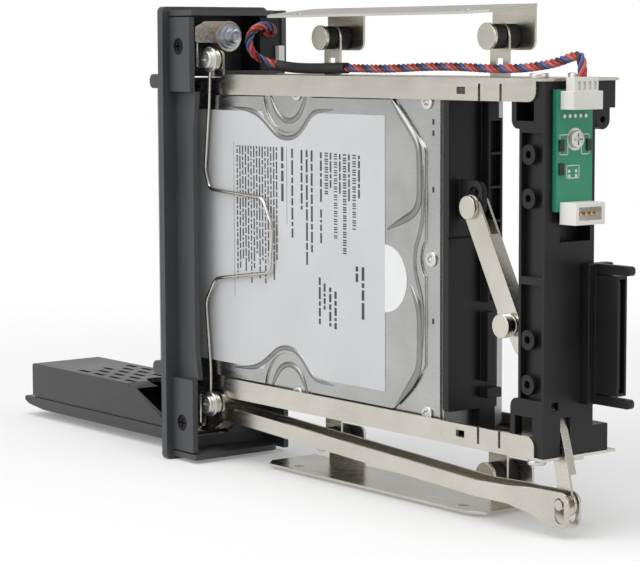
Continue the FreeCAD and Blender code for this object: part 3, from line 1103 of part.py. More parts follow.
def make_lever():
    pivot = spot(PIVOT_X, PIVOT_Z)
    upper = spot(UPPER_X, UPPER_Z)
    lower = spot(LOWER_X, LOWER_Z)
    near = value(LEVER_NEAR)
    far = value(LEVER_FAR)
    steel = value("steel")
    eye = value("eye_r")
    hub = value("hub_r")
    half = value("arm_half")
    room = (near, value(FOOT_FAR) + steel)
    outline = link_shape(pivot, upper, hub, eye, room).multiFuse(
        [lever_band(-half, half, room), Part.makeCylinder(eye, room[1] - room[0],
                                                          Vector(lower[0], near, lower[1]),
                                                          Vector(0, 1, 0))])
    top = upper[1] + 2 * eye
    blade = outline.common(lever_fold(steel, steel, top, lower[1] - 2 * eye))
    run = Vector(upper[0] - pivot[0], 0, upper[1] - pivot[1])
    along = Vector(run.x, 0, run.z).normalize()
    behind = Vector(along.z, 0, -along.x)
    start = Vector(pivot[0], near, pivot[1])
    stop = start + along * (run.Length - value("web_start"))
    strip = [start + behind * hub, stop + behind * eye, stop + behind * (eye - steel),
             start + behind * (hub - steel)]
    upper_web = prism(strip, Vector(0, far - near, 0))
    lower_web = lever_band(half - steel, half, room).common(
        lever_fold(value("lever_deep"), value("lower_deep"), pivot[1], lower[1] + value("web_stop")))
    fork_end = Vector(upper[0], near, upper[1]) - along * value("fork_long")
    fork = link_shape(upper, (fork_end.x, fork_end.z), eye, eye, (far - steel, far))
    boss = Part.makeCylinder(value("pivot_r + bore_wall"), far - near, start, Vector(0, 1, 0))
    body = blade.multiFuse([upper_web, lower_web, fork, boss]).removeSplitter()
    for (x, z), radius in ((pivot, value("pivot_r + run_gap")), (upper, value("dock_pin_r")),
                           (lower, value("rod_pin_r"))):
        body = body.cut(Part.makeCylinder(radius, 4 * (room[1] - room[0]),
                                          Vector(x, near - room[1] + room[0], z),
                                          Vector(0, 1, 0)))
    finish("ejector_lever", solid("lever_form", body.removeSplitter()))
    seat = f"({LEVER_NEAR} - side_gap)"
    shoulder = f"({seat} - shoulder_long)"
    centre = (PIVOT_X, PIVOT_Z)
    finish("lever_pivot", fuse("pivot_body",
                               rod("pivot_head", "y", centre, "rivet_r",
                                   (f"{shoulder} - pivot_rivet_tall", shoulder)),
                               rod("pivot_shoulder", "y", centre, "shoulder_r", (shoulder, seat)),
                               rod("pivot_shank", "y", centre, "pivot_r",
                                   (shoulder, f"{LEVER_FAR} + side_gap + pivot_lug"))))
    centre = (UPPER_X, UPPER_Z)
    finish("dock_pin", fuse("dock_pin_body",
                            rod("dock_pin_head", "y", centre, "rivet_r",
                                (f"{LEVER_NEAR} - dock_rivet_tall", LEVER_NEAR)),
                            rod("dock_pin_shank", "y", centre, "dock_pin_r",
                                (f"{LEVER_NEAR} - dock_rivet_tall/2", f"{LEVER_FAR} + pin_past"))))


def make_rod():
    front = f"({CRANK_X} - crank_pin_r - yoke_front)"
    low_front = f"({KINK_Z} + rod_front_rise)"
    yoke_low, yoke_high = about(f"{CRANK_Z} - yoke_drop", "yoke_tall/2")
    shank = "(yoke_back + yoke_taper)"
    tail = f"({LOWER_X} + fork_r)"
    tail_low = f"({LOWER_Z} - {LOWER_FALL} - fork_r)"
    tail_high = f"({LOWER_Z} + fork_r)"
    outline = [(front, yoke_low), ("yoke_back", yoke_low), (shank, low_front), (KINK_X, KINK_Z),
               (f"{KINK_X} + floor_past", KINK_Z), (f"{LOWER_X} - fork_r", tail_low), (tail, tail_low),
               (tail, tail_high),
               (f"{LOWER_X} - fork_r", tail_high), (KINK_X, f"{KINK_Z} + rod_tall"),
               (shank, f"{low_front} + rod_tall"),
               ("yoke_back", yoke_high), (front, yoke_high)]
    rounds = [(0, "yoke_round"), (12, "yoke_round"), (6, "fork_r*0.95"), (7, "fork_r*0.95")]
    bend = (f"{KINK_X} + fork_start", f"{KINK_X} + fork_end")
    sides = []
    for word, outer, inner in (("near", ROD_NEAR, FORK_NEAR),
                               ("far", f"({ROD_FAR} - steel)", f"({FORK_FAR} - steel)")):
        fold = [(f"{front} - steel", outer), (bend[0], outer), (bend[1], inner), (f"{tail} + steel", inner),
                (f"{tail} + steel", f"{inner} + steel"), (bend[1], f"{inner} + steel"),
                (bend[0], f"{outer} + steel"),
                (f"{front} - steel", f"{outer} + steel")]
        side = plate(f"rod_{word}_outline", "XZ_Plane", outline, (ROD_NEAR, ROD_FAR), rounds)
        sheet_fold = plate(f"rod_{word}_fold", "XY_Plane", fold,
                           (f"{tail_low} - steel", f"{yoke_high} + steel"))
        sides.append(common(f"rod_{word}_side", side, sheet_fold))
    floor_end = f"({KINK_X} + floor_past)"
    floor = plate("rod_floor", "XZ_Plane",
                  [(shank, low_front), (KINK_X, KINK_Z), (floor_end, KINK_Z),
                   (floor_end, f"{KINK_Z} + steel"),
                   (KINK_X, f"{KINK_Z} + steel"), (shank, f"{low_front} + steel")], (ROD_NEAR, ROD_FAR))
    through = (f"{ROD_NEAR} - steel", f"{ROD_FAR} + steel")
    holes = slot_tool("rod_yoke_slot", (CRANK_X, CRANK_Z), "crank_side*(sqrt(2) - 1) + yoke_end",
                      "crank_pin_r + yoke_gap", through)
    holes += slot_tool("rod_fork_slot", (LOWER_X, LOWER_Z), LOWER_FALL, "rod_pin_r + pin_gap", through)
    finish("pull_rod", cut("rod_cut", fuse("rod_body", floor, *sides), *holes))
    finish("rod_pin", rod("rod_pin_bar", "y", (LOWER_X, LOWER_Z), "rod_pin_r",
                          (f"{FORK_NEAR} - pin_past", f"{FORK_FAR} + pin_past")))


# Door, open at rest

def make_door_panel():
    free = "(-door_long)"
    panel = plate("panel_board", "XZ_Plane",
                  [(free, f"{DOOR_LOW} + panel_lift"), (f"{free} + panel_lip",
                                                        f"{DOOR_LOW} + panel_lift/2"),
                   (f"{free} + panel_nose", DOOR_LOW), ("-panel_stop", DOOR_LOW),
                   ("-panel_stop", PANEL_TOP),
                   (free, PANEL_TOP)], ("door_near", DOOR_FAR), [(0, "panel_round"), (5, "panel_round")])
    parts = [panel]
    reach = about(HINGE_X, "arm_wide/2")
    arms = (("near", onward(NEAR_ARM, "arm_thick"), (NEAR_ARM, "door_near + arm_root")),
            ("far", onward(FAR_ARM, "far_arm_thick"),
             (f"{DOOR_FAR} - arm_root", f"{FAR_ARM} + far_arm_thick")))
    for word, arm, ear in arms:
        parts.append(box(f"panel_{word}_ear", reach, ear, (DOOR_LOW, PANEL_TOP)))
        parts.append(box(f"panel_{word}_arm", reach, arm, (DOOR_LOW, HINGE_Z)))
        parts.append(rod(f"panel_{word}_knuckle", "y", (HINGE_X, HINGE_Z), "arm_wide/2", arm))
    bore = rod("panel_bore", "y", (HINGE_X, HINGE_Z), "hinge_r + run_gap", ("0", f"2*{COLLAR_FAR}"))
    finish("door_panel", cut("panel_cut", fuse("panel_body", *parts), bore))


def make_door_housing():
    """The vented back of the door: a hollow cover, open at its slanted hinge end, on a set-back seat."""
    free = "(-housing_long)"
    block = plate("housing_block", "XZ_Plane",
                  [(free, HOUSING_LOW), ("-slant_low", HOUSING_LOW),
                   ("-slant_mid", f"{HOUSING_LOW} + slant_rise"),
                   ("-slant_top", HOUSING_TOP), (free, HOUSING_TOP)], ("door_near", DOOR_FAR),
                  [(2, "slant_curve"), (4, "housing_round")])
    seat = box("housing_seat", (f"{free} + seat_in", "-slant_low - seat_in"),
               ("door_near + seat_in", f"{DOOR_FAR} - seat_in"), (PANEL_TOP, f"{HOUSING_LOW} + seat_in"))
    tools = [box("housing_hollow", (f"{free} + housing_wall", "0"),
                 ("door_near + housing_wall", f"{DOOR_FAR} - housing_wall"),
                 (DOOR_LOW, f"{HOUSING_TOP} - housing_wall")),
             rod("housing_thumb", "z", ("-slant_top", f"(door_near + {DOOR_FAR})/2"), "thumb_r",
                 about(HOUSING_TOP, "2*housing_wall"))]
    for line in range(5):
        for step in range(4 if line in (0, 4) else 3):
            x = f"({free} + vent_start + {step}*vent_pitch + {line % 2}*vent_stagger)"
            y = f"(door_near + vent_edge + {line}*vent_row)"
            tools.append(box(f"vent_{line}_{step}", onward(x, "vent_long"), onward(y, "vent_wide"),
                             about(HOUSING_TOP, "2*housing_wall")))
    finish("door_housing", cut("housing_cut", fuse("housing_body", block, seat), *tools))


def make_crank():
    """Two steel cheeks on the door's hinge end that carry the pin in the pull rod's yoke."""
    outer = (f"({ROD_NEAR} - side_gap - crank_steel)", f"({ROD_FAR} + side_gap + crank_steel)")
    back = f"({HINGE_X} - crank_back)"
    cheeks = []
    for word, span in (("near", onward(outer[0], "crank_steel")),
                       ("far", (f"{outer[1]} - crank_steel", outer[1]))):
        cheeks.append(plate(f"crank_{word}", "XZ_Plane",
                            [(back, PANEL_TOP), (f"{HINGE_X} + crank_front", PANEL_TOP),
                             (f"{CRANK_X} + crank_eye_r*0.64", f"{CRANK_Z} - crank_eye_r*0.77"),
                             (CRANK_X, f"{CRANK_Z} + crank_eye_r"), (f"{HINGE_X} - panel_stop", CRANK_Z)],
                            span))
        cheeks.append(rod(f"crank_{word}_eye", "y", (CRANK_X, CRANK_Z), "crank_eye_r", span))
    foot = box("crank_foot", (back, f"{HINGE_X} + crank_front - panel_stop"), outer,
               onward(PANEL_TOP, "crank_steel"))
    bar = (f"{outer[0]} - pin_past", f"{outer[1]} + pin_past")
    hole = rod("crank_hole", "y", (CRANK_X, CRANK_Z), "crank_pin_r", bar)
    finish("door_crank", cut("crank_cut", fuse("crank_body", foot, *cheeks), hole))
    finish("crank_pin", rod("crank_bar", "y", (CRANK_X, CRANK_Z), "crank_pin_r", bar))


# Key lock and indicator

def make_lock():
    centre = ("lock_y", LOCK_Z)
    barrel = rod("lock_body", "x", centre, "lock_r", ("-lock_out", "lock_nut_back + lock_past"))
    key = box("lock_keyway", ("-2*lock_out", "keyway_deep - lock_out"), about("lock_y", "keyway_wide/2"),
              about(LOCK_Z, "keyway_half"))
    finish("lock_cylinder", cut("lock_cut", barrel, key))
    nut_x = ("lock_nut_back - lock_nut_thick", "lock_nut_back")
    nut = rod("lock_nut_disc", "x", centre, "lock_nut_r", nut_x)
    hole = rod("lock_nut_hole", "x", centre, "lock_r", nut_x)
    finish("lock_nut", cut("lock_nut_cut", nut, hole))
    low, high = about(f"{LOCK_Z} + cam_lift", "cam_wide/2")
    end = "(lock_y - cam_long)"
    arm = plate("cam_arm", "YZ_Plane",
                [("lock_y", low), (end, low), (end, f"{high} - cam_slope"), (f"{end} + 2*cam_slope", high),
                 ("lock_y", high)],
                onward(CAM_FACE, "cam_thick"), [(1, "cam_thick")])
    disc = rod("cam_disc", "x", centre, "lock_r + cam_thick", onward(CAM_FACE, "cam_thick"))
    finish("lock_cam", fuse("cam_body", disc, arm))
    washer = rod("cam_washer", "x", centre, "cam_washer_r",
                 onward(f"({CAM_FACE} + cam_thick)", "cam_washer_thick"))
    nub = rod("cam_nub", "x", centre, "cam_nub_r",
              onward(f"({CAM_FACE} + cam_thick)", "cam_washer_thick + cam_nub_long"))
    finish("cam_screw", fuse("cam_screw_body", washer, nub))


def make_indicator():
    low = side_place(1, f"{BAY_HALF} + bezel_wall")
    far = "(bezel_deep - far_margin - bezel_wall)"
    face = "(body_back - indicator_short)"
    finish("indicator_block", box("indicator_box", ("flange", face), (f"{far} - indicator_wide", far),
                                  (low, "bezel_tall - indicator_top")))
    finish("indicator_board", box("indicator_card", onward(face, "card_reach"), (f"{far} - card_wide", far),
                                  onward(low, "card_tall")))


def make_lead():
    """The twisted lead from the indicator to the rear board; it loops once and lies along the upper rail."""
    rest = value(side_place(1, WEB_OUT)) + value("lead_r")
    start = Vector(value("body_back - indicator_short"), 33.6, rest + 11.6)
    plug_x = value(f"{BOARD_FACE} + header_floor + (header_deep - header_floor - header_wall)/2")
    plug_y = value(f"{BOARD_NEAR} + header_in + header_wide/2")
    plug_z = value(f"{BOARD_TOP} + lead_plug_above")
    points = [start, Vector(18.5, 33.6, rest + 11.6), Vector(21.2, 29.6, rest + 14.3),
              Vector(21.2, 24.2, rest + 13.9),
              Vector(20.6, 20.9, rest + 9.9), Vector(20.8, 22.6, rest + 4.9),
              Vector(23.6, 27.4, rest + 1.9),
              Vector(31.5, 30.4, rest + 0.5), Vector(47, 28.6, rest + 0.3), Vector(65, 27.7, rest + 0.7),
              Vector(83, 26.8, rest + 0.4), Vector(112, 26, rest + 1.6), Vector(140, 24.6, rest + 0.5),
              Vector(160, 23.4, rest + 3.8), Vector(plug_x - 1.5, plug_y + 0.4, rest + 5.8),
              Vector(plug_x, plug_y, plug_z + 3.2), Vector(plug_x, plug_y, plug_z)]
    radii = []
    for before, corner, after in zip(points, points[1:], points[2:]):
        half = (before - corner).getAngle(after - corner) / 2
        shorter = min((before - corner).Length, (after - corner).Length)
        radii.append(0.45 * shorter * math.tan(half))
    print("lead radii", [round(radius, 1) for radius in radii])
    path = bent_path(points, radii)
    shape = round_sweep(path, value("lead_r"))
    section = math.pi * value("lead_r")**2
    print("lead length %.1f, volume ratio %.4f" % (path.Length, shape.Volume / (path.Length * section)))
    finish("signal_lead", solid("lead_tube", shape))


make_bezel()
make_bezel_screws()
make_hinge_pins()
make_rail("upper_rail", 1, "upper")
make_rail("lower_rail", -1, "lower")
make_rail_screws()
make_retaining_wire()
make_lower_plate()
make_upper_plate()
make_mounts()
make_carrier()
make_connector()
make_board()
make_dock()
make_drive()
make_lever()
make_rod()
make_door_panel()
make_door_housing()
make_crank()
make_lock()
make_indicator()
make_lead()
doc.recompute()

failed = [obj.Name for obj in doc.Objects if "Invalid" in obj.State or "Error" in obj.State]
for piece in PIECES:
    if piece.Shape.isNull() or not piece.Shape.isValid() or not piece.Shape.Solids:
        failed.append(piece.Label)
if failed:
    raise SystemExit("failed: " + ", ".join(failed))

os.makedirs("parts", exist_ok=True)
for piece in PIECES:
    piece.Shape.exportStep("parts/%s.step" % piece.Label)
print("%d pieces written" % len(PIECES))
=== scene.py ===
# %% [markdown]
# # A hot-swap mobile rack with its door open
# The rack stands on its long side, as on a bench: a black bezel in front, two bright steel rails with a hard
# drive between them, an eject linkage in plain view and a small green board at the rear. The solids come
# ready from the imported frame, at their real size. This lesson gives them their finish: soft edges on the
# mouldings, brushed nickel on the folded steel, print on the label, a twisted lead and the small fasteners.

# %% Load the frame
import json
import math

import bpy
from mathutils import Matrix, Vector

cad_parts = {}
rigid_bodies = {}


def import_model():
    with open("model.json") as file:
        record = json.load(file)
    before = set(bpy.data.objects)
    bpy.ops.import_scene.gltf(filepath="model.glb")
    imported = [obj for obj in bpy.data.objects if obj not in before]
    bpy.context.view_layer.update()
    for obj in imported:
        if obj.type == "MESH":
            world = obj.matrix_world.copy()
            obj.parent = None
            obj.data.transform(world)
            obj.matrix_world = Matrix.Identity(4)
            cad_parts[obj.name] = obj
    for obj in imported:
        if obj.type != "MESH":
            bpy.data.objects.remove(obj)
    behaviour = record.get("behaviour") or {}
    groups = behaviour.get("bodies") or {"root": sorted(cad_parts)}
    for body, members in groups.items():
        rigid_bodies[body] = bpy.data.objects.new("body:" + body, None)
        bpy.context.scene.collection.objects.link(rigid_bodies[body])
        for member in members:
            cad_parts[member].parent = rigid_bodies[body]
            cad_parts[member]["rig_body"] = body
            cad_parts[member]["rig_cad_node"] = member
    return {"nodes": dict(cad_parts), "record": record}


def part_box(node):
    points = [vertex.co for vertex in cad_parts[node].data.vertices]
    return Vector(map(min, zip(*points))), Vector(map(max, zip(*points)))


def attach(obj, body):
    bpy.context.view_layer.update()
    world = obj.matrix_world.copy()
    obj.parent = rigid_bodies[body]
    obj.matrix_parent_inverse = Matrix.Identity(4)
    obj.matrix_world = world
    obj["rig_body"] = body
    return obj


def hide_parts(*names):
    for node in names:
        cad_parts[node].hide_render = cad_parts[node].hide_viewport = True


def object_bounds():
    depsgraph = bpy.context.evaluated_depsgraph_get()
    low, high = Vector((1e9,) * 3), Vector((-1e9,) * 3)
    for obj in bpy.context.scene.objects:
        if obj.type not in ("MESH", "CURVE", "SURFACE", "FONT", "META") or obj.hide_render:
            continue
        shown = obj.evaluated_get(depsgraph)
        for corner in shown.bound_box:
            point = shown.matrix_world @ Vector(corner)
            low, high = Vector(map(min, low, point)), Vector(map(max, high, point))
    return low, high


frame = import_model()
cad_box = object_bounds()
NODES = frame["nodes"]
MM = 0.001

# %% [markdown]
# ## The camera
# The photograph looks at the rack from its rear near corner, a little from above, through a long lens. The
# lens, the place and the turn were worked out from known sizes: the drive's length and width, and the pitch
# of the bay holes. A long lens keeps the two rails almost parallel, which a short one would not.

# %% Camera at the photograph's angle
IMAGE_WIDE = 640
FOCAL_PIXELS = 2246.3
SENSOR_MM = 36.0
NEAREST = 0.01
CAMERA_PLACE = Vector((523.98, -427.75, 134.0)) * MM
CAMERA_YAW = math.radians(52.25)
CAMERA_PITCH = math.radians(-5.95)
CAMERA_ROLL = math.radians(-0.24)

camera_data = bpy.data.cameras.new("camera")
camera_data.sensor_fit = "HORIZONTAL"
camera_data.sensor_width = SENSOR_MM
camera_data.lens = FOCAL_PIXELS / IMAGE_WIDE * SENSOR_MM
camera_data.clip_start = NEAREST
camera = bpy.data.objects.new("camera", camera_data)
bpy.context.scene.collection.objects.link(camera)
turn = Matrix.Rotation(CAMERA_YAW, 4, "Z") @ Matrix.Rotation(math.radians(90) + CAMERA_PITCH, 4, "X")
camera.matrix_world = Matrix.Translation(CAMERA_PLACE) @ turn @ Matrix.Rotation(CAMERA_ROLL, 4, "Z")
bpy.context.scene.camera = camera
bpy.context.scene.view_settings.view_transform = "Standard"
print("lens %.1f mm" % camera_data.lens)

# %% [markdown]
# ## Floor and light
# The rack stands on a white table. A white table in a bright room is lighter than anything on it, so its
# material adds a little of its own white, which only the camera and mirror-like surfaces see. The object is
# then lit by a soft world and three large lamps at a plain level, and the floor keeps the soft shadow. Beyond
# the shadow the table fades to plain white.

# %% Nodes for a material
def empty_tree(owner):
    """Clear the nodes of a material or a world: returns them and a function that links sockets."""
    owner.use_nodes = True
    tree = owner.node_tree
    tree.nodes.clear()

    def link(source, target):
        tree.links.new(source, target)
    return tree.nodes, link


def new_material(name):
    """A material with an empty tree: returns the material, its nodes and a function that links sockets."""
    material = bpy.data.materials.new(name)
    return (material, *empty_tree(material))


def maths(nodes, link, operation, first, second):
    """The result of a maths node on two sockets, or on a socket and a plain number."""
    node = nodes.new("ShaderNodeMath")
    node.operation = operation
    link(first, node.inputs[0])
    if isinstance(second, float):
        node.inputs[1].default_value = second
    else:
        link(second, node.inputs[1])
    return node.outputs[0]


# %% White table
FLOOR_Z = cad_box[0][2]
FLOOR_SIZE = 12.0
FLOOR_GLOW = 0.21
FLOOR_WHITE = (0.62, 0.62, 0.62, 1)
FLOOR_FADE = (0.2, 0.55)

bpy.ops.object.select_all(action="DESELECT")
bpy.ops.mesh.primitive_plane_add(size=FLOOR_SIZE, location=(0, 0, FLOOR_Z))
floor = bpy.context.active_object
floor.name = "floor"
floor_finish, nodes, link = new_material("table_white")
rays = nodes.new("ShaderNodeLightPath").outputs
seen = maths(nodes, link, "MAXIMUM", rays["Is Camera Ray"], rays["Is Glossy Ray"])
glow = nodes.new("ShaderNodeEmission")
link(maths(nodes, link, "MULTIPLY", seen, FLOOR_GLOW), glow.inputs["Strength"])
matt = nodes.new("ShaderNodeBsdfDiffuse")
matt.inputs["Color"].default_value = FLOOR_WHITE
both = nodes.new("ShaderNodeAddShader")
link(glow.outputs[0], both.inputs[0])
link(matt.outputs[0], both.inputs[1])
spot = nodes.new("ShaderNodeTexCoord")
away = nodes.new("ShaderNodeVectorMath")
away.operation = "LENGTH"
link(spot.outputs["Object"], away.inputs[0])
fade = nodes.new("ShaderNodeMapRange")
fade.interpolation_type = "SMOOTHSTEP"
fade.inputs["From Min"].default_value, fade.inputs["From Max"].default_value = FLOOR_FADE
link(away.outputs["Value"], fade.inputs["Value"])
white = nodes.new("ShaderNodeEmission")
blend = nodes.new("ShaderNodeMixShader")
link(maths(nodes, link, "MULTIPLY", fade.outputs[0], seen), blend.inputs["Fac"])
link(both.outputs[0], blend.inputs[1])
link(white.outputs[0], blend.inputs[2])
surface = nodes.new("ShaderNodeOutputMaterial")
link(blend.outputs[0], surface.inputs["Surface"])
floor.data.materials.append(floor_finish)

# %% World and lamps
WORLD_LIGHT = 0.55
SEEN_LIGHT = 1.0
WORLD_WHITE = (1, 1, 1, 1)
world = bpy.data.worlds.new("studio")
bpy.context.scene.world = world
nodes, link = empty_tree(world)
rays = nodes.new("ShaderNodeLightPath").outputs
level = nodes.new("ShaderNodeMapRange")
level.inputs["To Min"].default_value = WORLD_LIGHT
level.inputs["To Max"].default_value = SEEN_LIGHT
link(maths(nodes, link, "MAXIMUM", rays["Is Camera Ray"], rays["Is Transmission Ray"]), level.inputs["Value"])
sky = nodes.new("ShaderNodeBackground")
sky.inputs["Color"].default_value = WORLD_WHITE
link(level.outputs[0], sky.inputs["Strength"])
surface = nodes.new("ShaderNodeOutputWorld")
link(sky.outputs[0], surface.inputs["Surface"])

LAMP_AIM = Vector((0.0, 0.0, 0.07))
LAMPS = (
    # name, place, size, watts
    ("top_softbox", (0.15, -0.25, 1.1), 0.9, 7.2),
    ("rear_softbox", (1.0, 0.25, 0.55), 0.7, 2.0),
    ("near_softbox", (-0.35, -0.95, 0.6), 0.8, 6.0),
)
for name, place, size, watts in LAMPS:
    lamp_data = bpy.data.lights.new(name, "AREA")
    lamp_data.size = size
    lamp_data.energy = watts
    lamp = bpy.data.objects.new(name, lamp_data)
    bpy.context.scene.collection.objects.link(lamp)
    lamp.location = place
    lamp.rotation_euler = (LAMP_AIM - Vector(place)).to_track_quat("-Z", "Y").to_euler()
print("floor at %.4f m, %d lamps" % (FLOOR_Z, len(LAMPS)))

# %% [markdown]
# ## Finishes
# Each finish is one small function. A moulded or plated surface is never one flat colour: a broad noise
# shifts its tone a little, a fine one breaks up its gloss, and a bump gives it grain. All of them read the
# object's own coordinates, so a finish stays put when a piece moves.

# %% Shared steps of a finish
NOISE_MIDDLE = (0.3, 0.7)


def grain(nodes, link, scale, detail, stretch=(1, 1, 1)):
    """Noise on the object's own coordinates; stretch above 1 packs it tighter along that axis."""
    place = nodes.new("ShaderNodeTexCoord")
    mapping = nodes.new("ShaderNodeMapping")
    mapping.inputs["Scale"].default_value = stretch
    link(place.outputs["Object"], mapping.inputs["Vector"])
    noise = nodes.new("ShaderNodeTexNoise")
    noise.inputs["Scale"].default_value = scale
    noise.inputs["Detail"].default_value = detail
    link(mapping.outputs["Vector"], noise.inputs["Vector"])
    return noise.outputs["Fac"]


def between(nodes, link, factor, low, high):
    """A number that runs from low to high with the middle stretch of a noise."""
    ramp = nodes.new("ShaderNodeMapRange")
    ramp.inputs["From Min"].default_value, ramp.inputs["From Max"].default_value = NOISE_MIDDLE
    ramp.inputs["To Min"].default_value = low
    ramp.inputs["To Max"].default_value = high
    link(factor, ramp.inputs["Value"])
    return ramp.outputs["Result"]


def tone(nodes, link, factor, dark, light):
    """A colour that runs from dark to light with the middle stretch of a noise."""
    ramp = nodes.new("ShaderNodeValToRGB")
    first, last = ramp.color_ramp.elements
    first.position, last.position = NOISE_MIDDLE
    first.color = (*dark, 1)
    last.color = (*light, 1)
    link(factor, ramp.inputs["Fac"])
    return ramp.outputs["Color"]


def bumped(nodes, link, height, strength, distance):
    """Normals that follow a noise, taken as a height."""
    bump = nodes.new("ShaderNodeBump")
    bump.inputs["Strength"].default_value = strength
    bump.inputs["Distance"].default_value = distance
    link(height, bump.inputs["Height"])
    return bump.outputs["Normal"]


def shader(nodes, link, **sockets):
    """The principled shader, with the named sockets set, and the output it feeds."""
    principled = nodes.new("ShaderNodeBsdfPrincipled")
    for name, setting in sockets.items():
        principled.inputs[name.replace("_", " ")].default_value = setting
    output = nodes.new("ShaderNodeOutputMaterial")
    link(principled.outputs[0], output.inputs["Surface"])
    return principled


# %% Two kinds of surface
# Scale and detail of the broad noise, gloss below and above the mean, strength of the bump
PLASTIC_CLOUD, PLASTIC_GLOSS, PLASTIC_BUMP = (40, 4), (-0.05, 0.06), 0.35
STEEL_CLOUD, STEEL_GLOSS, STEEL_BUMP = (55, 5), (-0.04, 0.05), 0.06
FINE_DETAIL = 2
STREAK_SCALE = 900
STREAK_HEIGHT = 0.004


def moulded_plastic(name, dark, light, rough, grain_mm=0.35, grain_height=0.012, shine=0.5):
    """Satin moulding: a spark-eroded grain, slightly uneven gloss and tone."""
    material, nodes, link = new_material(name)
    skin = shader(nodes, link, Metallic=0.0, Specular_IOR_Level=shine)
    broad = grain(nodes, link, *PLASTIC_CLOUD)
    fine = grain(nodes, link, 1 / (grain_mm * MM), FINE_DETAIL)
    link(tone(nodes, link, broad, dark, light), skin.inputs["Base Color"])
    link(between(nodes, link, broad, *(rough + part for part in PLASTIC_GLOSS)), skin.inputs["Roughness"])
    link(bumped(nodes, link, fine, PLASTIC_BUMP, grain_height * MM), skin.inputs["Normal"])
    return material


def plated_steel(name, dark, light, rough, streak=(1, 1, 1)):
    """Nickel on rolled sheet: fine rolling streaks, a faint cloudiness and small gloss changes."""
    material, nodes, link = new_material(name)
    skin = shader(nodes, link, Metallic=1.0)
    cloud = grain(nodes, link, *STEEL_CLOUD)
    lines = grain(nodes, link, STREAK_SCALE, FINE_DETAIL, streak)
    link(tone(nodes, link, cloud, dark, light), skin.inputs["Base Color"])
    link(between(nodes, link, lines, *(rough + part for part in STEEL_GLOSS)), skin.inputs["Roughness"])
    link(bumped(nodes, link, lines, STEEL_BUMP, STREAK_HEIGHT * MM), skin.inputs["Normal"])
    return material


# %% A finish for each slot
FINISH = {
    # slot: material, dark tone, light tone, roughness, streaks
    "black_plastic": moulded_plastic("moulded_black", (0.042, 0.045, 0.048), (0.056, 0.059, 0.063), 0.4),
    "door_plastic": moulded_plastic("door_black", (0.022, 0.023, 0.024), (0.032, 0.033, 0.035), 0.24),
    "nickel_steel": plated_steel("nickel_plate", (0.57, 0.54, 0.475), (0.67, 0.64, 0.57), 0.24, (0.06, 1, 1)),
    "zinc_screws": plated_steel("zinc_plate", (0.60, 0.59, 0.56), (0.70, 0.69, 0.66), 0.36),
    "black_rubber": moulded_plastic("bush_rubber", (0.012, 0.012, 0.012), (0.022, 0.022, 0.022), 0.7),
    "drive_casting": plated_steel("die_casting", (0.43, 0.43, 0.44), (0.48, 0.48, 0.49), 0.40),
    "drive_cover": plated_steel("cover_steel", (0.40, 0.40, 0.39), (0.50, 0.50, 0.485), 0.25, (0.08, 1, 1)),
    "drive_label": moulded_plastic("label_paper", (0.52, 0.53, 0.54), (0.57, 0.58, 0.59), 0.4),
    "green_board": moulded_plastic("solder_mask", (0.020, 0.22, 0.125), (0.027, 0.27, 0.155), 0.3),
    "white_nylon": moulded_plastic("nylon_white", (0.68, 0.67, 0.63), (0.76, 0.75, 0.71), 0.4),
    "lead_insulation": moulded_plastic("lead_red", (0.42, 0.03, 0.03), (0.6, 0.06, 0.05), 0.35),
    "chip_black": moulded_plastic("chip_black", (0.012, 0.012, 0.012), (0.02, 0.02, 0.02), 0.5),
}
DEEP_BLACK = moulded_plastic("deep_black", (0.009, 0.009, 0.010), (0.015, 0.015, 0.016), 0.34, shine=0.3)
SEAL_PAPER = moulded_plastic("seal_paper", (0.70, 0.71, 0.71), (0.76, 0.77, 0.77), 0.45)
OWN_FINISH = {"rear_carrier": DEEP_BLACK, "rear_connector": DEEP_BLACK, "dock_carriage": DEEP_BLACK,
              "dock_connector": DEEP_BLACK, "indicator_block": DEEP_BLACK, "drive_seal": SEAL_PAPER,
              "indicator_board": SEAL_PAPER}
SLOT_OF = {entry["node"]: entry["material_slot"] for entry in frame["record"]["subparts"]}
for node, slot in SLOT_OF.items():
    NODES[node].data.materials.clear()
    NODES[node].data.materials.append(OWN_FINISH.get(node, FINISH[slot]))
print("finishes:", ", ".join(sorted(FINISH)))

# %% [markdown]
# ## Tools for small pieces
# The rest is modelled by hand. A few short helpers keep the steps readable: add a primitive at its place, cut
# one shape out of another, join what belongs together, and dress the finished piece: its material, the body
# it rides on and the solid it stands for. Places are given in the rack's own millimetres, counted from the
# bezel's front face, its near edge and its lower edge.

# %% Helpers
RACK_ORIGIN = Vector((-85.825, -21.65, -1.0))
ROUND_SIDES = 32
EDGE_ANGLE = math.radians(32)


def rack(x, y, z):
    """A place in the rack's own millimetres, as metres in the frame."""
    return (Vector((x, y, z)) + RACK_ORIGIN) * MM


def alone(piece):
    """Select one piece and nothing else."""
    bpy.ops.object.select_all(action="DESELECT")
    piece.select_set(True)
    bpy.context.view_layer.objects.active = piece


def block(low, high):
    """A box between two corners in metres, with its place in its mesh."""
    bpy.ops.object.select_all(action="DESELECT")
    bpy.ops.mesh.primitive_cube_add(size=1, location=(Vector(low) + Vector(high)) / 2)
    piece = bpy.context.active_object
    piece.scale = [abs(b - a) for a, b in zip(low, high)]
    bpy.ops.object.transform_apply(location=True, rotation=True, scale=True)
    return piece


def disc(centre, axis, radius, depth, sides=ROUND_SIDES):
    """A short cylinder about a centre, along an axis."""
    bpy.ops.object.select_all(action="DESELECT")
    turn = Vector(axis).to_track_quat("Z", "Y").to_euler()
    bpy.ops.mesh.primitive_cylinder_add(vertices=sides, radius=radius, depth=depth, location=centre, rotation=turn)
    bpy.ops.object.transform_apply(location=True, rotation=True, scale=True)
    return bpy.context.active_object


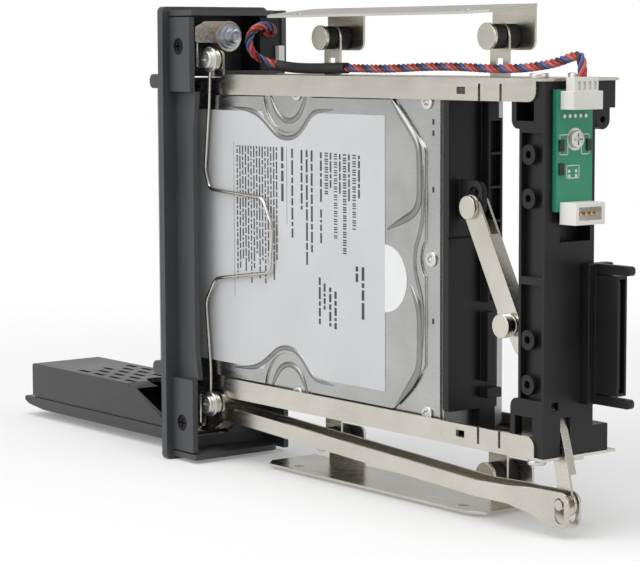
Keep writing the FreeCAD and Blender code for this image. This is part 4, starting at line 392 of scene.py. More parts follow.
def repeated(piece, count, step):
    """Copies of a piece in a row, by an applied array."""
    alone(piece)
    row = piece.modifiers.new("row", "ARRAY")
    row.use_relative_offset = False
    row.use_constant_offset = True
    row.constant_offset_displace = step
    row.count = count
    bpy.ops.object.modifier_apply(modifier=row.name)
    return piece


def rounded(piece, width_mm, segments=2):
    """Bevel a piece's edges and keep its flat faces flat to the light."""
    alone(piece)
    edge = piece.modifiers.new("edge", "BEVEL")
    edge.width = width_mm * MM
    edge.segments = segments
    edge.limit_method = "ANGLE"
    edge.angle_limit = EDGE_ANGLE
    bpy.ops.object.modifier_apply(modifier=edge.name)
    bpy.ops.object.shade_smooth_by_angle(angle=EDGE_ANGLE)
    weight = piece.modifiers.new("flat", "WEIGHTED_NORMAL")
    weight.keep_sharp = True
    bpy.ops.object.modifier_apply(modifier=weight.name)
    return piece


def merged(piece, operation, tools):
    """Add tools to a piece, or cut them out of it, and remove them."""
    for tool in tools:
        alone(piece)
        merge = piece.modifiers.new("merge", "BOOLEAN")
        merge.operation = operation
        merge.solver = "EXACT"
        merge.object = tool
        bpy.ops.object.modifier_apply(modifier=merge.name)
        bpy.data.objects.remove(tool)
    return piece


def carve(piece, *tools):
    """Cut tools out of a piece."""
    return merged(piece, "DIFFERENCE", tools)


def joined(pieces):
    """One object of several, which keep their own shapes."""
    bpy.ops.object.select_all(action="DESELECT")
    for piece in pieces:
        piece.select_set(True)
    bpy.context.view_layer.objects.active = pieces[0]
    if len(pieces) > 1:
        bpy.ops.object.join()
    return bpy.context.view_layer.objects.active


def dress(piece, name, body, slot, finish, *nodes):
    """Name a piece, finish it, set its body and hide the solids it stands for; slot is not used."""
    piece.name = name
    if finish:
        piece.data.materials.clear()
        piece.data.materials.append(finish)
    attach(piece, body)
    if nodes:
        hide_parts(*nodes)
    return piece


# %% [markdown]
# ## Soft edges
# Sharp solids look like paper models: every real edge is a small round that catches the light. Each piece
# that shows is copied, its loose triangles are merged and its flat faces joined, and a small bevel rounds
# the edges. The copy then stands for the solid, in the same place.

# %% Copy a solid with rounded edges
LOOSE_MM = 0.002
FLAT_ANGLE = math.radians(1.0)


def plain_copy(node):
    """A node's copy on its own, selected, with its triangles merged into whole faces."""
    source = NODES[node]
    copy = source.copy()
    copy.data = source.data.copy()
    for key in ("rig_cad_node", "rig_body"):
        if key in copy:
            del copy[key]
    copy.parent = None
    bpy.context.scene.collection.objects.link(copy)
    alone(copy)
    bpy.ops.object.mode_set(mode="EDIT")
    bpy.ops.mesh.select_all(action="SELECT")
    bpy.ops.mesh.remove_doubles(threshold=LOOSE_MM * MM)
    bpy.ops.mesh.dissolve_limited(angle_limit=FLAT_ANGLE)
    bpy.ops.object.mode_set(mode="OBJECT")
    return copy


def soften(node, width_mm):
    """A copy of a node with its edges rounded, in the node's own place, standing for it."""
    copy = rounded(plain_copy(node), width_mm)
    return dress(copy, node + "_soft", NODES[node]["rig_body"], SLOT_OF[node], None, node)


EDGE_MM = {
    "front_bezel": 0.25, "rear_carrier": 0.25, "door_panel": 0.3, "door_housing": 0.3, "dock_carriage": 0.25,
    "upper_rail": 0.12, "lower_rail": 0.12, "lower_side_plate": 0.12, "upper_side_plate": 0.12,
    "rear_connector": 0.2, "drive_base": 0.4, "drive_cover": 0.3, "ejector_lever": 0.12, "pull_rod": 0.12,
    "mount_discs": 0.2, "rubber_bushes": 0.4, "lock_cam": 0.15, "lock_nut": 0.2, "lever_pivot": 0.25,
    "dock_pin": 0.25, "lead_header": 0.15, "indicator_block": 0.3,
}
for node, width in EDGE_MM.items():
    soften(node, width)
print("rounded:", len(EDGE_MM), "pieces")

# %% [markdown]
# ## Screws
# Every screw here has a cross recess, apart from the drive's own, which have a star. The solids already have
# the head and the shank, so each one is copied and taken apart into its screws. A small bevel rounds the rim of
# each head, and a cutter of two or three crossed bars is then cut from its middle.

# %% Recessed heads
CROSS, STAR = 2, 3
RIM_STEPS = 3
MIDDLE_Z = rack(0, 0, 74).z
UP_OR_DOWN = None


def recess_tool(centre, axis, recess_mm, bar_count):
    """Bars crossed on an axis, sunk into a head from its face; recess_mm is their reach, width and depth."""
    reach, width, depth = (size * MM for size in recess_mm)
    bars = []
    bpy.ops.object.select_all(action="DESELECT")
    for number in range(bar_count):
        bpy.ops.mesh.primitive_cube_add(size=1, location=(0, 0, 0))
        bar = bpy.context.active_object
        bar.scale = (2 * reach, width, 2 * depth)
        bar.rotation_euler = (0, 0, math.pi * number / bar_count)
        bpy.ops.object.transform_apply(location=True, rotation=True, scale=True)
        bars.append(bar)
    tool = merged(bars[0], "UNION", bars[1:])
    tool.rotation_euler = Vector(axis).to_track_quat("Z", "Y").to_euler()
    tool.location = centre
    alone(tool)
    bpy.ops.object.transform_apply(location=True, rotation=True, scale=True)
    return tool


def screws(node, axis, recess_mm, bar_count, rim_mm, finish):
    """A node's screws with recesses in their heads; axis points out of the heads."""
    plain_copy(node)
    bpy.ops.object.mode_set(mode="EDIT")
    bpy.ops.mesh.select_all(action="SELECT")
    bpy.ops.mesh.separate(type="LOOSE")
    bpy.ops.object.mode_set(mode="OBJECT")
    done = []
    for part in list(bpy.context.selected_objects):
        points = [vertex.co for vertex in part.data.vertices]
        low = Vector([min(point[index] for point in points) for index in range(3)])
        high = Vector([max(point[index] for point in points) for index in range(3)])
        centre = (low + high) / 2
        if axis is UP_OR_DOWN:
            toward = Vector((0, 0, 1 if centre.z > MIDDLE_Z else -1))
        else:
            toward = Vector(axis)
        along = max(range(3), key=lambda index: abs(toward[index]))
        centre[along] = high[along] if toward[along] > 0 else low[along]
        rounded(part, rim_mm, RIM_STEPS)
        done.append(carve(part, recess_tool(centre, toward, recess_mm, bar_count)))
    heads = joined(done)
    bpy.ops.object.shade_smooth_by_angle(angle=EDGE_ANGLE)
    return dress(heads, node + "_cut", NODES[node]["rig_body"], SLOT_OF[node], finish, node)


zinc = FINISH["zinc_screws"]
blackened = plated_steel("blackened_steel", (0.020, 0.020, 0.022), (0.032, 0.032, 0.034), 0.34)
SCREWS = (
    # node, way out of the heads, reach, width and depth of the recess, its bars, bevel of the rim, finish
    ("rail_front_screws", (0, -1, 0), (1.75, 0.55, 1.0), CROSS, 0.35, zinc),
    ("bezel_screws", (0, -1, 0), (1.6, 0.55, 0.9), CROSS, 0.2, blackened),
    ("board_screw", (1, 0, 0), (1.5, 0.5, 0.8), CROSS, 0.35, zinc),
    ("rail_rear_screws", UP_OR_DOWN, (1.5, 0.55, 0.9), CROSS, 0.4, zinc),
    ("drive_screws", (0, -1, 0), (1.25, 0.62, 0.5), STAR, 0.25, zinc),
)
for entry in SCREWS:
    screws(*entry)
print("screws cut")

# %% Bolt of the lock cam
LOCK_Y, LOCK_Z = 20.1, 138.4
BOLT = (
    # distance from the bezel's face, radius, thickness, sides, bevel: a washer, a neck and a hexagon
    (12.1, 4.0, 1.0, 40, 0.2),
    (13.2, 3.1, 1.4, 40, 0.3),
    (14.4, 2.5, 2.4, 6, 0.2),
)
SOCKET = (15.6, 1.2, 1.4, 24)


def on_lock(x, radius_mm, thick_mm, sides):
    """A disc on the lock's axis."""
    return disc(rack(x, LOCK_Y, LOCK_Z), (1, 0, 0), radius_mm * MM, thick_mm * MM, sides)


bolt = [rounded(on_lock(*sizes), bevel) for *sizes, bevel in BOLT]
carve(bolt[-1], on_lock(*SOCKET))
bluish = plated_steel("blue_zinc", (0.52, 0.56, 0.62), (0.66, 0.70, 0.76), 0.32)
dress(joined(bolt), "cam_bolt", "cam", "zinc_screws", bluish, "cam_screw")
print("cam bolt made")

# %% [markdown]
# ## Retaining wire
# One piece of spring wire holds the drive's front end: it comes down from a straight leg, winds round the
# upper screw, crosses the label in a square loop and winds round the lower screw. A curve with a round bevel
# is the natural way to model wire. The turns are worked out by a loop, and each bend of the run has a point
# on either side of its corner, which keeps the bend tight.

# %% Curves with a round section
CURVE_ORDER = 3
SECTION_STEPS = 3
SEAM_MM = 0.005
TUBE_ANGLE = math.radians(50)


def bent_line(name, points, radius, steps=6, end=1.0):
    """A smooth curve by control points, with a round section if radius isn't zero; end narrows its tips."""
    data = bpy.data.curves.new(name, "CURVE")
    data.dimensions = "3D"
    spline = data.splines.new("NURBS")
    spline.points.add(len(points) - 1)
    for knot, point in zip(spline.points, points):
        knot.co = (*point, 1)
    spline.points[0].radius = spline.points[-1].radius = end
    spline.order_u = CURVE_ORDER
    spline.use_endpoint_u = True
    spline.resolution_u = steps
    data.bevel_depth = radius
    data.bevel_resolution = SECTION_STEPS
    data.use_fill_caps = radius > 0
    line = bpy.data.objects.new(name, data)
    bpy.context.scene.collection.objects.link(line)
    return line


def as_mesh(line):
    """A curve's closed mesh, facing outwards."""
    alone(line)
    bpy.ops.object.convert(target="MESH")
    bpy.ops.object.mode_set(mode="EDIT")
    bpy.ops.mesh.select_all(action="SELECT")
    bpy.ops.mesh.remove_doubles(threshold=SEAM_MM * MM)
    bpy.ops.mesh.normals_make_consistent(inside=False)
    bpy.ops.object.mode_set(mode="OBJECT")
    bpy.ops.object.shade_smooth_by_angle(angle=TUBE_ANGLE)
    return bpy.context.active_object


# %% Wire with its two coils
WIRE_MM = 0.55
WIRE_STEPS = 4
COIL_MM = 2.9
COIL_NEAR, COIL_FAR = 9.85, 10.95
UPPER_SCREW, LOWER_SCREW = (16.9, 130.9), (15.5, 19.3)
TURNS, TURN_STEPS = 1.75, 16
BEND_REACH, BEND_SHARE = 4.6, 0.45
LEG_X, LEG_TOP, LEG_BEND, LEG_LONG = 8.0, 138.8, 2.5, 10.0
WIRE_RUN = [(13.0, 116.5), (10.5, 95.0), (13.2, 89.2), (41.8, 87.8), (46.9, 79.0), (45.2, 64.4), (16.0, 60.4),
            (10.3, 52.5), (12.6, 31.0)]


def coil(centre, start_deg, first_y, last_y):
    """Points of the turns about a screw."""
    total = math.radians(360 * TURNS)
    steps = round(TURNS * TURN_STEPS)
    points = []
    for step in range(steps + 1):
        share = step / steps
        angle = math.radians(start_deg) + total * share
        points.append((centre[0] + COIL_MM * math.cos(angle), first_y + (last_y - first_y) * share,
                       centre[1] + COIL_MM * math.sin(angle)))
    return points


def beside(corner, other):
    """A point a little way from a corner, towards another point."""
    toward = other - corner
    return corner + toward.normalized() * min(BEND_REACH, BEND_SHARE * toward.length)


def bends(run, y):
    """Each inner point of the run, with a point before and after it."""
    places = [Vector((x, y, z)) for x, z in run]
    points = []
    for before, corner, after in zip(places, places[1:], places[2:]):
        points += [beside(corner, before), corner, beside(corner, after)]
    return points


upper_leg, lower_leg = UPPER_SCREW[1] - COIL_MM, LOWER_SCREW[1] + COIL_MM
leg_end = LEG_X + LEG_BEND
wire_points = [(LEG_X, COIL_NEAR, LEG_TOP), (LEG_X, COIL_NEAR, upper_leg + LEG_BEND), (LEG_X, COIL_NEAR, upper_leg),
               (leg_end, COIL_NEAR, upper_leg)]
wire_points += coil(UPPER_SCREW, -90, COIL_NEAR, COIL_FAR)
wire_points += bends([(UPPER_SCREW[0] - COIL_MM, UPPER_SCREW[1])] + WIRE_RUN
                     + [(LOWER_SCREW[0] - COIL_MM, LOWER_SCREW[1])], COIL_FAR)
wire_points += coil(LOWER_SCREW, 180, COIL_FAR, COIL_NEAR)
wire_points += [(leg_end, COIL_NEAR, lower_leg), (LEG_X, COIL_NEAR, lower_leg),
                (LEG_X, COIL_NEAR, lower_leg - LEG_BEND), (LEG_X, COIL_NEAR, lower_leg - LEG_LONG)]
wire = as_mesh(bent_line("wire", [rack(*point) for point in wire_points], WIRE_MM * MM, WIRE_STEPS))
dress(wire, "retaining_wire_wound", "frame", "nickel_steel", FINISH["nickel_steel"], "retaining_wire")
print("wire:", len(wire.data.polygons), "faces")

# %% [markdown]
# ## The signal lead
# Four thin wires, twisted together, run from the indicator over the upper rail to the plug on the rear
# board, and a black sleeve covers their first stretch. The route is a smooth spline through listed points.
# Points read back from that spline carry the twist: each wire winds round it at a small distance.

# %% Route of the lead
LEAD_ROUTE = [
    (13.8, 33.6, 139.3), (18.5, 33.6, 139.3), (21.2, 29.6, 142.0), (21.2, 24.2, 141.6), (20.6, 20.9, 137.6),
    (20.8, 22.6, 132.6), (23.6, 27.4, 129.6), (31.5, 30.4, 128.2), (47.0, 28.6, 128.0), (65.0, 27.7, 128.4),
    (83.0, 26.8, 128.1), (112.0, 26.0, 129.3), (140.0, 24.6, 128.2), (160.0, 23.4, 129.8), (170.4, 22.3, 132.6),
    (173.1, 21.7, 131.2), (173.1, 21.7, 126.6),
]
ROUTE_STEPS = 24
lead_line = bent_line("lead_line", [rack(*point) for point in LEAD_ROUTE], 0, ROUTE_STEPS)
drawn = bpy.data.meshes.new_from_object(lead_line)
lead_path = [vertex.co.copy() for vertex in drawn.vertices]
bpy.data.meshes.remove(drawn)
bpy.data.objects.remove(lead_line)
lead_steps = [(b - a).length for a, b in zip(lead_path, lead_path[1:])]

# %% Twisted wires
WIRE_ROUND = 0.56
WIRE_APART = 0.78
TWIST_MM = 9.0
STRAND_STEPS = 2
SHADE = 0.8
WIRE_COLOURS = {"wire_red": (0.40, 0.025, 0.035), "wire_orange": (0.55, 0.11, 0.06),
                "wire_blue": (0.07, 0.09, 0.30), "wire_black": (0.025, 0.022, 0.025)}


def side_frames(path):
    """Two directions square to the path at each point, carried along without turning."""
    frames = []
    side = Vector((0, 0, 1))
    for before, after in zip([path[0]] + path[:-1], path[1:] + [path[-1]]):
        along = (after - before).normalized()
        side = (side - along * side.dot(along)).normalized()
        frames.append((side.copy(), along.cross(side)))
    return frames


def vinyl(name, colour):
    """Smooth insulation of one colour."""
    dark = tuple(SHADE * part for part in colour)
    return moulded_plastic(name, dark, colour, rough=0.33, grain_mm=0.5, grain_height=0.004)


lead_frames = side_frames(lead_path)
lead_runs = [0.0]
for step in lead_steps:
    lead_runs.append(lead_runs[-1] + step)
strands = []
for number, (name, colour) in enumerate(WIRE_COLOURS.items()):
    points = []
    for point, (side, over), run in zip(lead_path, lead_frames, lead_runs):
        angle = 2 * math.pi * (number / len(WIRE_COLOURS) + run / (TWIST_MM * MM))
        points.append(point + (side * math.cos(angle) + over * math.sin(angle)) * WIRE_APART * MM)
    strand = as_mesh(bent_line(name, points, WIRE_ROUND * MM, STRAND_STEPS))
    strand.data.materials.append(vinyl(name, colour))
    strands.append(strand)
lead = joined(strands)
dress(lead, "lead_wires", "frame", "lead_insulation", None, "signal_lead")

# %% Sleeve on the lead
SLEEVE_FROM, SLEEVE_TO = rack(26.5, 0, 0).x, rack(64, 0, 0).x
SLEEVE_ROUND = 1.75
covered = [point for point in lead_path if SLEEVE_FROM < point.x < SLEEVE_TO]
sleeve_finish = moulded_plastic("woven_sleeve", (0.010, 0.010, 0.011), (0.022, 0.022, 0.024), rough=0.62,
                                grain_mm=0.8, grain_height=0.05)
sleeve = as_mesh(bent_line("sleeve", covered, SLEEVE_ROUND * MM, STRAND_STEPS))
dress(sleeve, "lead_sleeve", "frame", "black_rubber", sleeve_finish)
print("lead wires:", len(lead.data.polygons), "faces")

# %% [markdown]
# ## Print on the label
# A drive's label is full of small print, which at arm's length is only grey rows and a few striped bars. It is
# modelled as just that: thin raised bars, one for each word, laid in rows by a loop that varies their length.
# Nothing on it can be read. The rows run up the label, because the drive stands on its side.

# %% Rows of print
PRINT = [
    # distance from the bezel, top, bottom, row width, word, gap
    (24.6, 105.0, 54.5, 0.18, 50.0, 0.4), (50.4, 104.0, 84.5, 1.25, 2.6, 0.7), (52.7, 104.0, 79.7, 0.18, 24.0, 0.4),
    (55.5, 103.6, 74.4, 0.95, 2.2, 0.7), (60.3, 103.4, 84.0, 0.95, 2.0, 0.6), (62.9, 103.4, 68.5, 0.95, 2.7, 0.6),
    (65.4, 103.4, 70.0, 0.95, 2.3, 0.6), (70.0, 103.0, 89.0, 0.9, 1.9, 0.6), (70.0, 85.6, 74.0, 0.9, 1.5, 0.6),
    (72.7, 103.0, 89.6, 1.7, 0.42, 0.36), (74.8, 103.0, 91.0, 0.8, 1.6, 0.5), (77.2, 102.8, 76.5, 1.7, 0.36, 0.42),
    (79.3, 102.8, 90.0, 0.8, 2.1, 0.5), (81.6, 102.8, 71.9, 1.7, 0.45, 0.34), (83.7, 102.8, 88.0, 0.8, 1.8, 0.5),
    (86.2, 102.8, 80.3, 1.7, 0.4, 0.4), (88.5, 102.6, 88.0, 0.9, 1.7, 0.5), (69.2, 64.7, 50.0, 1.0, 1.8, 0.6),
    (71.6, 63.0, 55.0, 1.0, 1.2, 0.5), (74.4, 62.0, 49.3, 1.15, 1.7, 0.6), (77.0, 61.0, 49.6, 1.15, 1.5, 0.6),
    (87.4, 69.4, 65.0, 1.3, 1.5, 0.6), (90.3, 69.4, 54.0, 1.3, 2.4, 0.7),
]
# A paragraph of small rows with ragged ends
SMALL_ROWS, SMALL_FROM, SMALL_STEP = 15, 26.4, 1.5
SMALL_TOP, SMALL_WIDE, SMALL_GAP = 103.8, 0.7, 0.5
for number in range(SMALL_ROWS):
    bottom = 60.0 + 9.0 * ((number * 7) % 5) / 4
    word = 1.1 + 0.35 * (number * 3 % 5)
    PRINT.append((SMALL_FROM + SMALL_STEP * number, SMALL_TOP, bottom, SMALL_WIDE, word, SMALL_GAP))

# A word below the first length is a stripe of a bar, and above the second a ruled line: both keep their length
STRIPE, RULE = 0.5, 10
WORDS = (1.0, 1.7, 0.6, 1.3, 2.1, 0.8, 1.5)
STRIPE_GAPS = WORDS[:3]
INK_THICK = 0.015
INK_EDGE = 0.004
label_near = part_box("drive_label")[0][1]
ink = moulded_plastic("print_grey", (0.030, 0.030, 0.033), (0.05, 0.05, 0.055), rough=0.45, grain_mm=0.5,
                      grain_height=0.004)
rows = []
for number, (x, top, bottom, wide, word, gap) in enumerate(PRINT):
    striped = word < STRIPE or word > RULE
    here, step = top, number
    while here - word > bottom:
        long = word if striped else word * WORDS[step % len(WORDS)]
        low, high = rack(x - wide / 2, 0, here - long), rack(x + wide / 2, 0, here)
        low.y, high.y = label_near - INK_THICK * MM, label_near + 0.5 * INK_THICK * MM
        rows.append(block(low, high))
        here -= long + (gap * STRIPE_GAPS[step % len(STRIPE_GAPS)] if striped else gap)
        step += 1
dress(rounded(joined(rows), INK_EDGE, 1), "label_print", "dock", "drive_label", ink)
print("label rows:", len(PRINT))

# %% [markdown]
# ## Pressed lines in the drive's cover
# The cover is a stamped lid. Besides its raised middle, which the solid has, a narrow channel runs round each
# rear corner to the label, another lies along the rear edge, and two follow the scallop round a screw on either
# side. Each is a flat bead: a curve with a round section, squeezed towards the lid so that only a low ridge
# stands out. The beads are a darker steel than the cover, and that dark tone is painted shade standing for the
# shade in the channels. The scallops are alike, so the lower one is the upper one mirrored.

# %% Beads on the cover
LID_HIGH, LID_LOW = 12.5, 13.2
MIRROR_Z = 148.0
BEAD_FLAT = 0.5
BEAD_END = 0.2
BEADS = [
    # depth of the face it lies on, radius, points along the drive and up
    (LID_HIGH, 1.15, [(102.6, 120.6), (106.5, 116.6), (111.0, 112.1), (114.9, 108.0), (116.1, 104.6), (116.3, 95.0),
                      (116.0, 89.8), (113.6, 86.6), (108.0, 84.2), (101.6, 81.4)]),
    (LID_HIGH, 1.15, [(105.8, 29.8), (110.5, 34.6), (114.6, 39.2), (116.2, 42.8), (116.4, 50.0), (116.3, 58.0),
                      (114.8, 62.4), (112.0, 66.0)]),
    (LID_HIGH, 0.7, [(117.8, 101.0), (117.9, 92.0), (117.6, 84.6), (115.8, 80.0), (114.2, 76.0), (114.0, 70.6),
                     (115.6, 66.4), (117.4, 62.0), (117.8, 55.0), (117.8, 48.0)]),
]
SCALLOP = [
    (LID_HIGH, 0.8, [(24.0, 115.9), (33.0, 115.4), (39.0, 113.4), (44.0, 110.0), (48.0, 107.4), (52.6, 106.6),
                     (57.4, 107.4), (61.4, 110.2), (64.6, 113.8), (68.0, 115.6), (76.0, 116.0)]),
    (LID_LOW, 0.9, [(42.4, 121.6), (45.2, 116.4), (48.6, 113.0), (52.8, 111.8), (57.0, 113.0), (60.2, 116.6),
                    (62.4, 121.6)]),
]
BEADS += SCALLOP
BEADS += [(depth, radius, [(x, MIRROR_Z - z) for x, z in points]) for depth, radius, points in SCALLOP]
beads = []
for depth, radius, points in BEADS:
    line = [(rack(x, 0, z).x, 0, rack(x, 0, z).z) for x, z in points]
    bead = as_mesh(bent_line("bead", line, radius * MM, end=BEAD_END))
    bead.scale.y = BEAD_FLAT
    bead.location.y = rack(0, depth, 0).y
    bpy.ops.object.transform_apply(location=True, rotation=True, scale=True)
    beads.append(bead)
# A darker steel on the beads paints the shade that lies in the stamped channels
channel_shade_steel = plated_steel("painted_channel_shade", (0.24, 0.24, 0.24), (0.32, 0.32, 0.31), 0.3)
dress(joined(beads), "cover_beads", "dock", "drive_cover", channel_shade_steel)

# %% Painted shade of small holes along the rim
HOLE_SHADE_X, HOLE_SHADE_Z = 121.5, (113.4, 110.2, 94.0, 56.0)
HOLE_SHADE_HALF = Vector((0.45, 0.03, 0.8))
HOLE_SHADE_EDGE = 0.02
# Each dark block is painted shade, standing in for a small hole in the rim
hole_shades = []
for z in HOLE_SHADE_Z:
    middle = Vector((HOLE_SHADE_X, LID_LOW, z))
    hole_shades.append(block(rack(*(middle - HOLE_SHADE_HALF)), rack(*(middle + HOLE_SHADE_HALF))))
dress(rounded(joined(hole_shades), HOLE_SHADE_EDGE, 1), "rim_hole_shades", "dock", "chip_black", FINISH["chip_black"])
print("beads:", len(BEADS), "marks:", len(hole_shades))

# %% [markdown]
# ## The small green board
# Behind the rail a bare board carries the lead's header and a spare one. White outlines and bright pads are
# printed on it: they are thin blocks here, laid on the board's face, so that they show from any side. Most
# places are counted from the board's screw.

# %% Outlines and pads
INK = 0.03 * MM
LINE = 0.22 * MM
SILK_EDGE, PAD_EDGE = 0.01, 0.02
# Two outlines beside the screw: share of the board's width, half width, bottom and top
SIDES, SIDE_HALF, SIDE_Z = (0.2, 0.8), 1.6, (-4.2, 1.4)
# One outline below it, and the four pads in that: places, and half the width and height of a pad
LOWER_Y, LOWER_Z = (-3.2, 1.6), (-10.6, -7.0)
PAD_Y, PAD_Z, PAD_HALF = (-2.2, 0.4), (-9.9, -8.6), (0.45, 0.4)
# The ring round the screw, and a row of solder points below the board's upper edge
RING_OUT, RING_IN, RING_THICK, RING_CUT = 3.1, 1.4, 2.4 * INK, 8 * INK
POINTS, POINT_STEP, POINT_DOWN = 5, 2.0, 7.2
POINT_ROUND, POINT_THICK, POINT_SIDES = 0.55, 3 * INK, 12
board_low, board_high = (Vector(corner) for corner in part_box("signal_board"))
screw_low, screw_high = (Vector(corner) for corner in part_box("board_screw"))
screw_at = (screw_low + screw_high) / 2
front = board_high.x


def outline(y0, y1, z0, z1):
    """Four thin bars round a rectangle on the board's face."""
    bars = ((y0, y1, z0, z0 + LINE), (y0, y1, z1 - LINE, z1), (y0, y0 + LINE, z0, z1), (y1 - LINE, y1, z0, z1))
    return [block((front - INK, left, low), (front + INK, right, high)) for left, right, low, high in bars]


def stepped(middle, steps_mm):
    """Places at some steps from a middle."""
    return [middle + step * MM for step in steps_mm]


silk = []
for share in SIDES:
    y = board_low.y + share * (board_high.y - board_low.y)
    silk += outline(y - SIDE_HALF * MM, y + SIDE_HALF * MM, *stepped(screw_at.z, SIDE_Z))
silk += outline(*stepped(screw_at.y, LOWER_Y), *stepped(screw_at.z, LOWER_Z))
pads = []
half_y, half_z = (half * MM for half in PAD_HALF)
for z in stepped(screw_at.z, PAD_Z):
    for y in stepped(screw_at.y, PAD_Y):
        pads.append(block((front - INK, y - half_y, z - half_z), (front + 2 * INK, y + half_y, z + half_z)))
ring_at = (front, screw_at.y, screw_at.z)
ring = disc(ring_at, (1, 0, 0), RING_OUT * MM, RING_THICK)
pads.append(carve(ring, disc(ring_at, (1, 0, 0), RING_IN * MM, RING_CUT)))
for number in range(POINTS):
    y = screw_at.y + (number - POINTS // 2) * POINT_STEP * MM
    point_at = (front, y, board_high.z - POINT_DOWN * MM)
    pads.append(disc(point_at, (1, 0, 0), POINT_ROUND * MM, POINT_THICK, POINT_SIDES))
dress(rounded(joined(silk), SILK_EDGE, 1), "board_outlines", "frame", "white_nylon", FINISH["white_nylon"])
solder = plated_steel("solder", (0.62, 0.60, 0.55), (0.74, 0.72, 0.68), 0.3)
dress(rounded(joined(pads), PAD_EDGE, 1), "board_pads", "frame", "zinc_screws", solder)
print("board outlines and pads made")

# %% [markdown]
# ## The far side of the drive
# Nobody sees the drive's own circuit board in the photograph, but the rack can be turned. A drive's board has
# a few large chips, rows of tiny parts, a ring of metal round the motor's contact and a screw in each corner.
# They are blocks and discs laid on the board's outer face.

# %% Chips, rows and screws on the drive's board
FAR_SIDE = (0, 1, 0)
SUNK_MM = 0.05
CHIPS = [
    # share of the length and the height, width, height, thickness
    (0.30, 0.64, 14, 14, 1.2), (0.62, 0.66, 10, 10, 1.0), (0.30, 0.30, 12, 8, 1.0), (0.66, 0.30, 8, 14, 1.0),
    (0.82, 0.80, 6, 6, 0.9), (0.14, 0.82, 5, 7, 0.9),
]
ROWS = [
    # share of the length and the height, count, step
    (0.18, 0.48, 14, 2.6), (0.52, 0.86, 9, 2.4), (0.50, 0.14, 10, 2.6), (0.10, 0.16, 6, 2.4), (0.46, 0.74, 5, 2.2),
]
SMALL_PART = (1.5, 0.8, 0.6)
HUB, HUB_OUT, HUB_IN, HUB_THICK, HUB_CUT, HUB_SIDES = (0.47, 0.50), 9, 6, 0.5, 2, 48
CORNERS = ((0.06, 0.06), (0.06, 0.94), (0.94, 0.06), (0.94, 0.94))
HEAD_ROUND, HEAD_THICK, HEAD_RECESS = 2.6, 1.6, (1.2, 0.6, 0.5)
CHIP_EDGE, PART_EDGE, HUB_EDGE, HEAD_EDGE = 0.15, 0.12, 0.1, 0.3
far_low, far_high = (Vector(corner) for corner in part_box("drive_board"))
far_wide, far_tall = far_high.x - far_low.x, far_high.z - far_low.z


def on_board(along, up):
    """A point on the board's outer face, by its share of the length and the height."""
    return Vector((far_low.x + along * far_wide, far_high.y, far_low.z + up * far_tall))


def laid(middle, wide_mm, tall_mm, thick_mm):
    """A block on the board's outer face, sunk a little into it."""
    half = Vector((wide_mm / 2, 0, tall_mm / 2)) * MM
    sunk, proud = Vector((0, -SUNK_MM, 0)) * MM, Vector((0, thick_mm, 0)) * MM
    return block(middle - half + sunk, middle + half + proud)


chips = [rounded(laid(on_board(along, up), *sizes), CHIP_EDGE) for along, up, *sizes in CHIPS]
dress(joined(chips), "drive_chips", "dock", "chip_black", FINISH["chip_black"])
small = []
for along, up, count, step in ROWS:
    small.append(repeated(laid(on_board(along, up), *SMALL_PART), count, (step * MM, 0, 0)))
dress(rounded(joined(small), PART_EDGE, 1), "drive_small_parts", "dock", "chip_black", solder)
hub = carve(disc(on_board(*HUB), FAR_SIDE, HUB_OUT * MM, HUB_THICK * MM, HUB_SIDES),
            disc(on_board(*HUB), FAR_SIDE, HUB_IN * MM, HUB_CUT * MM, HUB_SIDES))
dress(rounded(hub, HUB_EDGE), "drive_hub_ring", "dock", "drive_cover", FINISH["drive_cover"])
heads = []
for corner in CORNERS:
    head = rounded(disc(on_board(*corner), FAR_SIDE, HEAD_ROUND * MM, HEAD_THICK * MM), HEAD_EDGE)
    top = on_board(*corner) + Vector((0, HEAD_THICK / 2, 0)) * MM
    heads.append(carve(head, recess_tool(top, FAR_SIDE, HEAD_RECESS, STAR)))
dress(joined(heads), "drive_board_screws", "dock", "zinc_screws", zinc)
print("drive board:", len(CHIPS), "chips,", len(ROWS), "rows,", len(heads), "screws")

# %% [markdown]
# ## Contacts
# The spare header is an open shroud with four square pins, the lead's plug has a slit for each of its contacts,
# and the rear connector's tongue carries a row of thin gold strips. The openings are cut with plain blocks. The
# pins and the strips are one block each, bevelled and repeated by an array.

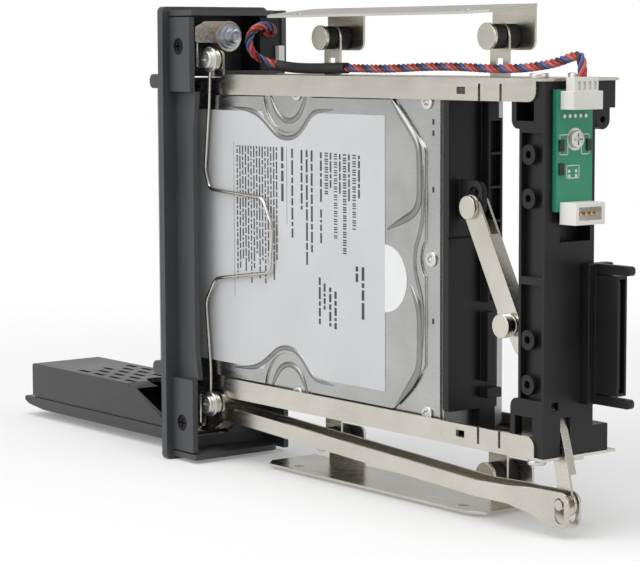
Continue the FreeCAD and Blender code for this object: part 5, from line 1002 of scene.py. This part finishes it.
# %% Shroud and pins of the spare header
WALL, WINDOW_DEEP = 1.2 * MM, 3.6 * MM
PIN_COUNT, PIN_STEP, PIN_FROM, PIN_WIDE = 4, 2 * MM, 2.2 * MM, 0.64 * MM
PIN_FOOT, PIN_TIP = 4.2 * MM, 0.6 * MM
NYLON_EDGE, PIN_EDGE = 0.15, 0.12
nylon = FINISH["white_nylon"]
gold = plated_steel("contact_gold", (0.70, 0.50, 0.20), (0.82, 0.62, 0.28), 0.25)
spare_low, spare_high = (Vector(corner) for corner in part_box("spare_header"))
window = block((spare_high.x - WINDOW_DEEP, spare_low.y + WALL, spare_low.z + WALL),
               (spare_high.x + MM, spare_high.y - WALL, spare_high.z - WALL))
shroud = rounded(carve(plain_copy("spare_header"), window), NYLON_EDGE)
dress(shroud, "spare_shroud", "frame", "white_nylon", nylon, "spare_header")
pin_y, pin_z = spare_low.y + PIN_FROM, (spare_low.z + spare_high.z - PIN_WIDE) / 2
pin = block((spare_high.x - PIN_FOOT, pin_y, pin_z), (spare_high.x - PIN_TIP, pin_y + PIN_WIDE, pin_z + PIN_WIDE))
dress(repeated(rounded(pin, PIN_EDGE), PIN_COUNT, (0, PIN_STEP, 0)), "spare_pins", "frame", "nickel_steel", gold)

# %% Slits in the lead's plug
SLIT_COUNT, SLIT_STEP, SLIT_FROM, SLIT_WIDE = 4, 2.0, 1.2, 1.1
SLIT_DEEP, SLIT_LOW, SLIT_TOP = 0.5, 3.4, 1.2
grip_low, grip_high = (Vector(corner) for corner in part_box("lead_plug"))
housing = plain_copy("lead_plug")
for number in range(SLIT_COUNT):
    y = grip_low.y + (SLIT_FROM + SLIT_STEP * number) * MM
    carve(housing, block((grip_high.x - SLIT_DEEP * MM, y, grip_high.z - SLIT_LOW * MM),
                         (grip_high.x + MM, y + SLIT_WIDE * MM, grip_high.z - SLIT_TOP * MM)))
dress(rounded(housing, NYLON_EDGE), "plug_housing", "frame", "white_nylon", nylon, "lead_plug")

# %% Strips of the rear connector
STRIP_COUNT, STRIP_STEP, STRIP_EDGE = 22, 1.27, 0.04
TONGUE_Y = 4.4
# The lowest strip's ends and edges, from the connector's lowest corner, and its faces, from the tongue's middle
STRIP_X, STRIP_Y, STRIP_Z = (5, 10), (-0.62, -0.42), (6, 6.8)
plug_low = Vector(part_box("rear_connector")[0])
strip_x, strip_z = stepped(plug_low.x, STRIP_X), stepped(plug_low.z, STRIP_Z)
strip_y = stepped(plug_low.y + TONGUE_Y * MM, STRIP_Y)
strip = rounded(block(*zip(strip_x, strip_y, strip_z)), STRIP_EDGE, 1)
dress(repeated(strip, STRIP_COUNT, (0, 0, STRIP_STEP * MM)), "plug_strips", "frame", "nickel_steel", gold)
print("contacts made")
